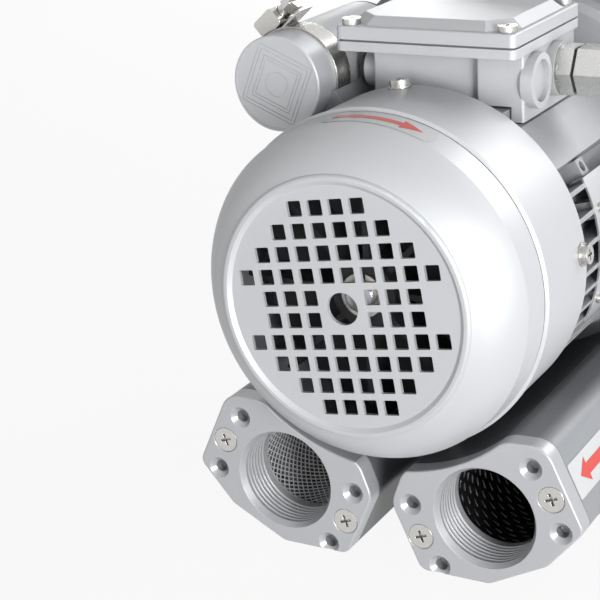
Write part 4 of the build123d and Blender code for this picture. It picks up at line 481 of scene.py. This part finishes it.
DRESS: dict[Finish, tuple[str, ...]] = {
    SILVER: (
        "fan_cover",
        "terminal_box_lid",
        "capacitor_cover",
    ),
    CAST: (
        "motor_frame",
        "fan_end_shield",
        "blower_casing",
        "casing_cover",
        "capacitor_cradle",
        "base_foot",
    ),
    SHADED_DUCT_PAINT: ("inlet_silencer", "outlet_silencer"),
    LIT_BOX_PAINT: ("terminal_box_base",),
    FACED: ("inlet_port_flange", "outlet_port_flange"),
    ZINC: (
        "box_screws",
        "casing_screws",
        "fan_cover_screws",
        "flange_screws",
        "foot_screws",
        "silencer_screws",
        "tie_bolts",
        "impeller_bolt",
        "nameplate_rivets",
        "gland_washer",
        "fan_circlip",
        "wave_washer",
        "clamp_band",
        "clamp_housing",
        "clamp_screw",
    ),
    STEEL: (
        "motor_shaft",
        "shaft_key",
        "front_bearing_outer_ring",
        "front_bearing_inner_ring",
        "front_bearing_balls",
        "rear_bearing_outer_ring",
        "rear_bearing_inner_ring",
        "rear_bearing_balls",
        "inlet_silencer_tube",
    ),
    BARE: ("impeller", "nameplate"),
    CORE: ("stator_core", "rotor_core"),
    COPPER: ("stator_winding",),
    BRASS: ("terminal_studs",),
    NICKEL: ("gland_body", "gland_cap"),
    BLACK: (
        "cooling_fan",
        "terminal_block",
        "capacitor_end_cap",
        "capacitor_cell",
        "outlet_silencer_tube",
    ),
    RUBBER: ("gland_seal", "lead_grommet", "terminal_box_gasket", "shaft_seal"),
    SEAM: ("casing_gasket", "flange_gaskets", "lid_gasket"),
    FOAM: ("inlet_silencer_foam", "outlet_silencer_foam"),
}


def paint(piece: bpy.types.Object, finish: Finish) -> None:
    """Gives a piece one finish all over."""
    piece.data.materials.clear()
    piece.data.materials.append(finish.build())


def dress_solids() -> None:
    """Gives every carried-over solid its finish."""
    for finish, names in DRESS.items():
        for name in names:
            paint(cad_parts[name], finish)
            log.info("dressed %s in %s", name, finish.name)


# ---------------------------------------------------------------- bench work
class Pick(Enum):
    """What is selected on a mesh before an edit-mode step."""

    VERTS = "VERT"
    EDGES = "EDGE"
    FACES = "FACE"


def start(name: str, add: Callable[..., object], **settings: object) -> bpy.types.Object:
    """Adds a primitive with nothing else selected.

    Args:
        name: the piece's name.
        add: the primitive's operator.
        settings: its size and place.

    Returns:
        The new object.
    """
    bpy.ops.object.select_all(action="DESELECT")
    add(**settings)
    made = bpy.context.active_object
    made.name = made.data.name = name
    return made


def choose(piece: bpy.types.Object, kind: Pick, test: Callable[[Vector], bool]) -> None:
    """Enters edit mode with the parts selected whose middle passes a test.

    Args:
        piece: the object being worked on.
        kind: vertices, edges or faces.
        test: says of a middle point whether its part is wanted.
    """
    mesh = piece.data
    bpy.context.view_layer.objects.active = piece
    bpy.ops.object.mode_set(mode="EDIT")
    bpy.context.tool_settings.mesh_select_mode = tuple(kind is each for each in Pick)
    bpy.ops.mesh.select_all(action="DESELECT")
    bpy.ops.object.mode_set(mode="OBJECT")
    spots = [vert.co for vert in mesh.vertices]
    if kind is Pick.VERTS:
        for vert in mesh.vertices:
            vert.select = test(vert.co)
    elif kind is Pick.EDGES:
        for edge in mesh.edges:
            edge.select = test(sum((spots[i] for i in edge.vertices), Vector()) / 2)
    else:
        for face in mesh.polygons:
            face.select = test(face.center)
    bpy.ops.object.mode_set(mode="EDIT")


def apply_modifier(piece: bpy.types.Object, kind: str, **settings: object) -> None:
    """Adds a modifier, sets it up and applies it.

    Args:
        piece: the object being worked on.
        kind: the modifier's type.
        settings: its properties.
    """
    bpy.ops.object.select_all(action="DESELECT")
    piece.select_set(True)
    bpy.context.view_layer.objects.active = piece
    modifier = piece.modifiers.new(kind.lower(), kind)
    for key, setting in settings.items():
        setattr(modifier, key, setting)
    bpy.ops.object.modifier_apply(modifier=modifier.name)


def outward(piece: bpy.types.Object, weld: float = 0.0) -> None:
    """Turns all faces outwards, after merging doubles where a distance is given.

    Args:
        piece: the object being worked on.
        weld: the distance within which vertices merge, or 0 for none.
    """
    choose(piece, Pick.VERTS, lambda spot: True)
    if weld:
        bpy.ops.mesh.remove_doubles(threshold=weld)
    bpy.ops.mesh.normals_make_consistent(inside=False)
    bpy.ops.object.mode_set(mode="OBJECT")


def settle(piece: bpy.types.Object, place: Matrix) -> None:
    """Puts a finished shape where it belongs, with its place in its mesh.

    Args:
        piece: the shape, wherever its object stands.
        place: where its origin goes.
    """
    piece.data.transform(piece.matrix_basis)
    piece.matrix_basis = Matrix.Identity(4)
    piece.data.transform(place)
    piece.data.update()


def copies(piece: bpy.types.Object, places: Sequence[Matrix], name: str) -> bpy.types.Object:
    """Copies a shape to several places and joins the copies.

    Args:
        piece: the shape, which is used up.
        places: one matrix for each copy.
        name: the joined piece's name.

    Returns:
        The joined piece.
    """
    bpy.ops.object.select_all(action="DESELECT")
    made = []
    for place in places:
        twin = bpy.data.objects.new(name, piece.data.copy())
        twin.data.transform(place)
        bpy.context.scene.collection.objects.link(twin)
        twin.select_set(True)
        made.append(twin)
    bpy.data.objects.remove(piece)
    bpy.context.view_layer.objects.active = made[0]
    bpy.ops.object.join()
    made[0].name = made[0].data.name = name
    return made[0]


SMOOTH_ANGLE = math.radians(35)


def hand_over(piece: bpy.types.Object, finish: Finish, slot: str = "", *nodes: str) -> None:
    """Finishes a piece: smooth sides, its surface, what it rides on and what it stands for.

    Args:
        piece: the finished shape.
        finish: its surface.
        slot: not used.
        nodes: solids that it stands for.
    """
    bpy.ops.object.select_all(action="DESELECT")
    piece.select_set(True)
    bpy.context.view_layer.objects.active = piece
    bpy.ops.object.shade_smooth_by_angle(angle=SMOOTH_ANGLE)
    paint(piece, finish)
    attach(piece, "housing")
    if nodes:
        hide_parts(*nodes)
    log.info("built %s", piece.name)


def depth_y(depth: float) -> float:
    """Y of a depth counted from the fan cover's front rim."""
    return FACE_Y + depth


def port_frame(side: int, depth: float) -> Matrix:
    """Matrix whose Z runs into a port along the machine and whose X is level.

    Args:
        side: 1 for the right-hand port, -1 for the left-hand one.
        depth: depth of its origin from the fan cover's front rim.

    Returns:
        The matrix.
    """
    turn = Matrix(((1, 0, 0), (0, 0, 1), (0, -1, 0))).to_4x4()
    return Matrix.Translation((side * PORT_X, depth_y(depth), PORT_Z)) @ turn


# ---------------------------------------------------------------- port linings
@dataclass
class WireScreen:
    """Tube of crossed wires that lines the left duct."""

    radius: float = 20.55 * MM
    wire: float = 0.33 * MM
    front: float = 46.0 * MM
    length: float = 124.4 * MM
    strands: int = 46
    twist: float = 270.0
    steps: int = 44
    hoop: float = 0.75 * MM
    wire_sides: int = 5
    hoop_segments: int = 72
    hoop_sides: int = 8

    def strand(self, name: str, hand: int) -> bpy.types.Object:
        """Winds one wire.

        Args:
            name: the wire's name.
            hand: 1 for a right-hand turn, -1 for a left-hand one.

        Returns:
            The wire, round the Z axis.
        """
        made = start(
            name,
            bpy.ops.mesh.primitive_circle_add,
            vertices=self.wire_sides,
            radius=self.wire,
            fill_type="NGON",
            location=(self.radius, 0.0, 0.0),
        )
        settle(made, Matrix.Identity(4))
        apply_modifier(
            made,
            "SCREW",
            axis="Z",
            angle=hand * math.radians(self.twist),
            screw_offset=self.length,
            steps=self.steps,
            render_steps=self.steps,
        )
        outward(made)
        return made

    def build(self) -> None:
        """Builds the wires both ways and the two end hoops."""
        layers = []
        for hand, name in ((1, "right_wires"), (-1, "left_wires")):
            pitch = math.tau / self.strands
            places = [Matrix.Rotation(pitch * n, 4, "Z") for n in range(self.strands)]
            layers.append(copies(self.strand(name, hand), places, name))
        for end in (self.hoop, self.length - self.hoop):
            hoop = start(
                "hoop",
                bpy.ops.mesh.primitive_torus_add,
                major_radius=self.radius,
                minor_radius=self.hoop,
                major_segments=self.hoop_segments,
                minor_segments=self.hoop_sides,
                location=(0.0, 0.0, end),
            )
            settle(hoop, Matrix.Identity(4))
            layers.append(hoop)
        bpy.ops.object.select_all(action="DESELECT")
        for layer in layers:
            layer.select_set(True)
        bpy.context.view_layer.objects.active = layers[0]
        bpy.ops.object.join()
        screen = layers[0]
        screen.name = screen.data.name = "inlet_wire_screen"
        settle(screen, port_frame(-1, self.front))
        hand_over(screen, WIRE, "mesh_steel", "inlet_silencer_tube")


@dataclass
class LouvredTube:
    """Black tube with rows of short pressed lips that lines the right duct."""

    radius: float = 20.4 * MM
    wall: float = 0.45 * MM
    front: float = 46.0 * MM
    length: float = 124.4 * MM
    rows: int = 31
    lips: int = 22
    lip: Point = (2.6 * MM, 0.40 * MM, 0.45 * MM)
    lip_tilt: float = 14.0
    lip_sink: float = 0.1 * MM
    end_zone: float = 0.4  # of the lip's length from its middle, past which lies its end face
    point_length: float = 0.2  # of the lip's length, at each end
    point_size: float = 0.25  # of the lip's width and height
    sides: int = 96

    def build(self) -> None:
        """Builds the tube and its lips."""
        tube = start(
            "outlet_perforated_tube",
            bpy.ops.mesh.primitive_cylinder_add,
            vertices=self.sides,
            radius=self.radius,
            depth=self.length,
            end_fill_type="NOTHING",
            location=(0.0, 0.0, self.length / 2),
        )
        settle(tube, Matrix.Identity(4))
        outward(tube)
        apply_modifier(tube, "SOLIDIFY", thickness=self.wall, offset=1.0)
        choose(tube, Pick.FACES, lambda spot: True)
        bpy.ops.mesh.subdivide(number_cuts=1)
        bpy.ops.object.mode_set(mode="OBJECT")
        settle(tube, port_frame(1, self.front))
        hand_over(tube, LACQUER, "black_plastic", "outlet_silencer_tube")
        lips = copies(self.shape_lip(), self.lip_places(), "outlet_tube_lips")
        settle(lips, port_frame(1, self.front))
        hand_over(lips, LIPS, "mesh_steel")

    def shape_lip(self) -> bpy.types.Object:
        """Shapes one lip, pointed at both ends, about the origin.

        Returns:
            The lip, its length along Y and its thickness along X.
        """
        lip = start("lip", bpy.ops.mesh.primitive_cube_add, size=1.0)
        lip.data.transform(Matrix.Diagonal((self.lip[2], self.lip[0], self.lip[1], 1.0)))
        for end in (-1, 1):
            tip = end * self.lip[0] * self.point_length
            choose(lip, Pick.FACES, lambda spot: spot.y * end > self.lip[0] * self.end_zone)
            bpy.ops.mesh.extrude_region_move(TRANSFORM_OT_translate={"value": (0.0, tip, 0.0)})
            bpy.ops.transform.resize(value=(self.point_size, 1.0, self.point_size))
            bpy.ops.object.mode_set(mode="OBJECT")
        outward(lip)
        return lip

    def lip_places(self) -> list[Matrix]:
        """Staggered places of all the lips on the tube's inside.

        Returns:
            One matrix for each lip.
        """
        places = []
        pitch = math.tau / self.lips
        step = self.length / (self.rows + 1)
        for row in range(self.rows):
            for n in range(self.lips):
                turn = Matrix.Rotation(pitch * (n + 0.5 * (row % 2)), 4, "Z")
                seat = Matrix.Translation((self.radius - self.lip_sink, 0.0, step * (row + 1)))
                tilt = Matrix.Rotation(math.radians(self.lip_tilt), 4, "X")
                places.append(turn @ seat @ tilt)
        return places


# ---------------------------------------------------------------- labels
@dataclass(frozen=True)
class Arrow:
    """A plain flat arrow that points along +X, with its tip at X = 0."""

    length: float
    shaft: float
    head: float
    head_length: float
    thickness: float = 0.06 * MM
    point: float = 0.004  # of the head's width left at the tip, before it is welded
    weld: float = 0.02 * MM

    def build(self, name: str) -> bpy.types.Object:
        """Draws the arrow flat, from a rectangle.

        Args:
            name: the piece's name.

        Returns:
            The arrow, lying on the XY plane.
        """
        body = self.length - self.head_length
        made = start(name, bpy.ops.mesh.primitive_plane_add, size=1.0)
        middle = Matrix.Translation((-self.head_length - body / 2, 0.0, 0.0))
        made.data.transform(middle @ Matrix.Diagonal((body, self.shaft, 1.0, 1.0)))
        neck = -self.head_length
        choose(made, Pick.EDGES, lambda spot: abs(spot.x - neck) < 1e-6)
        bpy.ops.mesh.extrude_region_move(TRANSFORM_OT_translate={"value": (0.0, 0.0, 0.0)})
        bpy.ops.transform.resize(value=(1.0, self.head / self.shaft, 1.0))
        forward = {"value": (self.head_length, 0.0, 0.0)}
        bpy.ops.mesh.extrude_region_move(TRANSFORM_OT_translate=forward)
        bpy.ops.transform.resize(value=(1.0, self.point, 1.0))
        bpy.ops.object.mode_set(mode="OBJECT")
        outward(made, self.weld)
        return made


CORNER_SEGMENTS = 6


def rounded_strip(name: str, length: float, width: float, corner: float) -> bpy.types.Object:
    """Draws a flat strip with round corners, centred on the origin.

    Args:
        name: the piece's name.
        length: its size along X.
        width: its size along Y.
        corner: the corners' radius.

    Returns:
        The strip, one face on the XY plane.
    """
    strip = start(name, bpy.ops.mesh.primitive_plane_add, size=1.0)
    strip.data.transform(Matrix.Diagonal((length, width, 1.0, 1.0)))
    choose(strip, Pick.VERTS, lambda spot: True)
    bpy.ops.mesh.bevel(affect="VERTICES", offset=corner, segments=CORNER_SEGMENTS)
    bpy.ops.object.mode_set(mode="OBJECT")
    return strip


def thicken(piece: bpy.types.Object, thickness: float) -> None:
    """Gives a flat sheet its thickness, upwards from its plane."""
    apply_modifier(piece, "SOLIDIFY", thickness=thickness, offset=1.0)
    outward(piece)


@dataclass
class FlowLabel:
    """Label with an arrow on the outer face of a duct."""

    side: int
    outward_flow: bool
    lift: float = 36.83 * MM
    lean: float = 25.0
    across: float = 1.7 * MM
    length: float = 72.0 * MM
    width: float = 14.3 * MM
    corner: float = 0.8 * MM
    front: float = 34.9 * MM
    film: float = 0.12 * MM
    tip_from_front: float = 6.8 * MM
    gap: float = 0.03 * MM
    arrow: Arrow = Arrow(length=44.0 * MM, shaft=4.4 * MM, head=9.6 * MM, head_length=7.4 * MM)

    def build(self) -> None:
        """Builds the film and the arrow on it."""
        name = "outlet" if self.side > 0 else "inlet"
        lean = math.radians(self.lean)
        normal = Vector((self.side * math.cos(lean), 0.0, math.sin(lean)))
        rise = Vector((-self.side * math.sin(lean), 0.0, math.cos(lean)))
        along = rise.cross(normal)
        middle = Vector((self.side * PORT_X, depth_y(self.front + self.length / 2), PORT_Z))
        middle += normal * (self.lift + self.gap) + rise * self.across
        face = Matrix((along, rise, normal)).transposed().to_4x4()
        place = Matrix.Translation(middle) @ face
        film = rounded_strip(f"{name}_flow_label", self.length, self.width, self.corner)
        thicken(film, self.film)
        settle(film, place)
        hand_over(film, LABEL)
        mark = self.arrow.build(f"{name}_flow_arrow")
        thicken(mark, self.arrow.thickness)
        shift = self.length / 2 - self.tip_from_front
        travel = -1.0 if self.outward_flow else 1.0  # the arrow's way along Y
        tip = -shift if self.outward_flow else self.arrow.length - shift
        turn = Matrix.Rotation(0.0 if travel * along.y > 0 else math.pi, 4, "Z")
        end = tip * along.y
        settle(mark, place @ Matrix.Translation((end, 0.0, self.film + self.gap)) @ turn)
        hand_over(mark, RED)


@dataclass
class RotationLabel:
    """Label with an arrow bent round the top of the fan cover."""

    radius: float = 65.42 * MM
    cone: float = 0.079
    start_angle: float = 104.0
    end_angle: float = 65.0
    front: float = 18.9 * MM
    width: float = 10.4 * MM
    corner: float = 3.6 * MM
    film: float = 0.12 * MM
    slices: int = 26
    gap: float = 0.04 * MM
    arrow_gap: float = 0.07 * MM
    arrow: Arrow = Arrow(length=36.0 * MM, shaft=2.7 * MM, head=6.4 * MM, head_length=8.5 * MM)
    tip_from_end: float = 5.0 * MM

    @property
    def length(self) -> float:
        """Length round the cover."""
        return self.radius * math.radians(self.start_angle - self.end_angle)

    def wrap(self, piece: bpy.types.Object, lift: float) -> None:
        """Bends a flat piece round the cover: its X becomes the way round, its Y the depth.

        Args:
            piece: a flat shape about the label's middle.
            lift: height above the cover.
        """
        for n in range(1, self.slices):
            across = self.length * (n / self.slices - 0.5)
            choose(piece, Pick.FACES, lambda spot: True)
            bpy.ops.mesh.bisect(plane_co=(across, 0.0, 0.0), plane_no=(1.0, 0.0, 0.0))
            bpy.ops.object.mode_set(mode="OBJECT")
        middle = math.radians((self.start_angle + self.end_angle) / 2)
        for vert in piece.data.vertices:
            angle = middle - vert.co.x / self.radius
            depth = self.front + self.width / 2 + vert.co.y
            reach = self.radius + self.cone * (depth - self.front) + lift + vert.co.z
            place = (reach * math.cos(angle), depth_y(depth), AXIS_H + reach * math.sin(angle))
            vert.co = place
        outward(piece)

    def build(self) -> None:
        """Builds the film and the arrow on it."""
        film = rounded_strip("rotation_label", self.length, self.width, self.corner)
        thicken(film, self.film)
        self.wrap(film, self.gap)
        hand_over(film, LABEL)
        mark = self.arrow.build("rotation_arrow")
        thicken(mark, self.arrow.thickness)
        mark.data.transform(Matrix.Translation((self.length / 2 - self.tip_from_end, 0.0, 0.0)))
        self.wrap(mark, self.film + self.arrow_gap)
        hand_over(mark, RED)


@dataclass
class BeadGrooves:
    """Shaded lines in the two grooves beside the fan cover's bead."""

    depths: tuple[float, float] = (30.85 * MM, 34.70 * MM)
    radii: tuple[float, float] = (65.88 * MM, 66.28 * MM)
    line: float = 0.42 * MM
    line_sides: int = 6
    steps: int = 144
    weld: float = 0.01 * MM

    def build(self) -> None:
        """Turns a small round section once about the cover's axis for each groove."""
        for name, depth, radius in zip(("front", "rear"), self.depths, self.radii):
            line = start(
                f"bead_{name}_shade",
                bpy.ops.mesh.primitive_circle_add,
                vertices=self.line_sides,
                radius=self.line,
                location=(radius, 0.0, 0.0),
                rotation=(math.pi / 2, 0.0, 0.0),
            )
            settle(line, Matrix.Identity(4))
            apply_modifier(
                line,
                "SCREW",
                axis="Z",
                angle=math.tau,
                steps=self.steps,
                render_steps=self.steps,
                use_merge_vertices=True,
                merge_threshold=self.weld,
            )
            outward(line)
            turn = Matrix.Rotation(-math.pi / 2, 4, "X")
            settle(line, Matrix.Translation((0.0, depth_y(depth), AXIS_H)) @ turn)
            hand_over(line, SHADE)


# ---------------------------------------------------------------- studio
@dataclass(frozen=True)
class Lamp:
    """One rectangular softbox: its centre, its width and height, and its power in watts."""

    name: str
    place: Point
    size: tuple[float, float]
    power: float


LAMPS = (
    Lamp("right_softbox", (1.25, -0.30, 0.45), (0.7, 1.0), 2.5),
    Lamp("front_softbox", (1.30, -1.20, 0.28), (0.6, 0.6), 25.0),
    Lamp("face_softbox", (0.40, -1.70, 0.30), (0.6, 0.6), 6.0),
    Lamp("back_softbox", (0.70, 0.95, 0.95), (0.8, 0.6), 9.0),
    Lamp("rear_left_softbox", (-0.45, 1.55, 0.32), (0.8, 0.4), 14.0),
)


@dataclass
class Studio:
    """Floor, backdrop light, lamps and camera."""

    floor_half: float = 6.0
    floor_gap: float = 0.2 * MM
    eye: Point = (0.274329, -0.680074, 0.334519)
    right: Point = (0.875444, 0.480618, -0.051027)
    up: Point = (-0.120357, 0.319037, 0.940069)
    back: Point = (0.468094, -0.816836, 0.337145)
    focal_px: float = 1702.27
    frame_px: float = 600.0
    sensor: float = 36.0
    near_clip: float = 0.01
    room: float = 0.05
    floor_light: float = 0.92
    floor_color: Color = (0.60, 0.60, 0.60)
    floor_roughness: float = 0.9
    target: Point = (0.0, -0.08, 0.10)

    def build(self) -> None:
        """Builds everything that isn't part of the machine."""
        self.lay_floor()
        self.light_world()
        for lamp in LAMPS:
            self.hang_lamp(lamp)
        self.set_camera()

    def lay_floor(self) -> None:
        """Lays the plain pale floor, which reads as white and keeps a soft shadow."""
        bpy.ops.object.select_all(action="DESELECT")
        bpy.ops.mesh.primitive_plane_add(size=2 * self.floor_half, location=(0, 0, -self.floor_gap))
        floor = bpy.context.active_object
        floor.name = "studio_floor"
        graph = Graph("studio_floor")
        graph.feed("Base Color", self.floor_color)
        graph.feed("Roughness", self.floor_roughness)
        path = graph.node("ShaderNodeLightPath")
        seen = graph.value(path, "Is Camera Ray")
        for name in ("Is Glossy Ray", "Is Transmission Ray"):
            seen = seen.math("MAXIMUM", graph.value(path, name))
        white = {"Color": (1.0, 1.0, 1.0, 1.0), "Strength": 1.0}
        glow = graph.node("ShaderNodeEmission", {}, white)
        mixed = graph.node("ShaderNodeMixShader", {}, {0: seen * self.floor_light})
        graph.tree.links.new(graph.shader.outputs[0], mixed.inputs[1])
        graph.tree.links.new(glow.outputs[0], mixed.inputs[2])
        output = graph.tree.nodes["Material Output"]
        graph.tree.links.new(mixed.outputs[0], output.inputs["Surface"])
        floor.data.materials.append(graph.material)

    def light_world(self) -> None:
        """Makes the backdrop white to the eye and in reflections, and dim as a light."""
        world = bpy.data.worlds.new("studio")
        bpy.context.scene.world = world
        world.use_nodes = True
        tree = world.node_tree
        shine = tree.nodes["Background"]
        shine.inputs["Color"].default_value = (1.0, 1.0, 1.0, 1.0)
        path = tree.nodes.new("ShaderNodeLightPath")
        seen = Value(tree, path.outputs["Is Camera Ray"])
        for name in ("Is Glossy Ray", "Is Transmission Ray"):
            seen = seen.math("MAXIMUM", Value(tree, path.outputs[name]))
        tree.links.new((seen * (1.0 - self.room) + self.room).socket, shine.inputs["Strength"])

    def hang_lamp(self, lamp: Lamp) -> None:
        """Hangs one softbox aimed at the machine.

        Args:
            lamp: its size, place and power.
        """
        data = bpy.data.lights.new(lamp.name, "AREA")
        data.shape = "RECTANGLE"
        data.size, data.size_y = lamp.size
        data.energy = lamp.power
        hung = bpy.data.objects.new(lamp.name, data)
        hung.location = lamp.place
        aim = Vector(self.target) - Vector(lamp.place)
        hung.rotation_euler = aim.to_track_quat("-Z", "Y").to_euler()
        bpy.context.scene.collection.objects.link(hung)

    def set_camera(self) -> None:
        """Places the camera."""
        data = bpy.data.cameras.new("view")
        data.sensor_fit = "HORIZONTAL"
        data.sensor_width = self.sensor
        data.lens = self.focal_px / self.frame_px * self.sensor
        data.clip_start = self.near_clip
        camera = bpy.data.objects.new("view", data)
        columns = Matrix((self.right, self.up, self.back)).transposed()
        camera.matrix_world = Matrix.Translation(self.eye) @ columns.to_4x4()
        bpy.context.scene.collection.objects.link(camera)
        bpy.context.scene.camera = camera


def main() -> None:
    """Builds the studio and the dressed machine, piece by piece."""
    logging.basicConfig(level=logging.INFO, format="%(name)s: %(message)s")
    scene = bpy.context.scene
    scene.view_settings.view_transform = "Standard"
    Studio().build()
    dress_solids()
    WireScreen().build()
    BeadGrooves().build()
    LouvredTube().build()
    FlowLabel(side=1, outward_flow=True).build()
    FlowLabel(side=-1, outward_flow=False).build()
    RotationLabel().build()


if __name__ == "__main__":
    main()
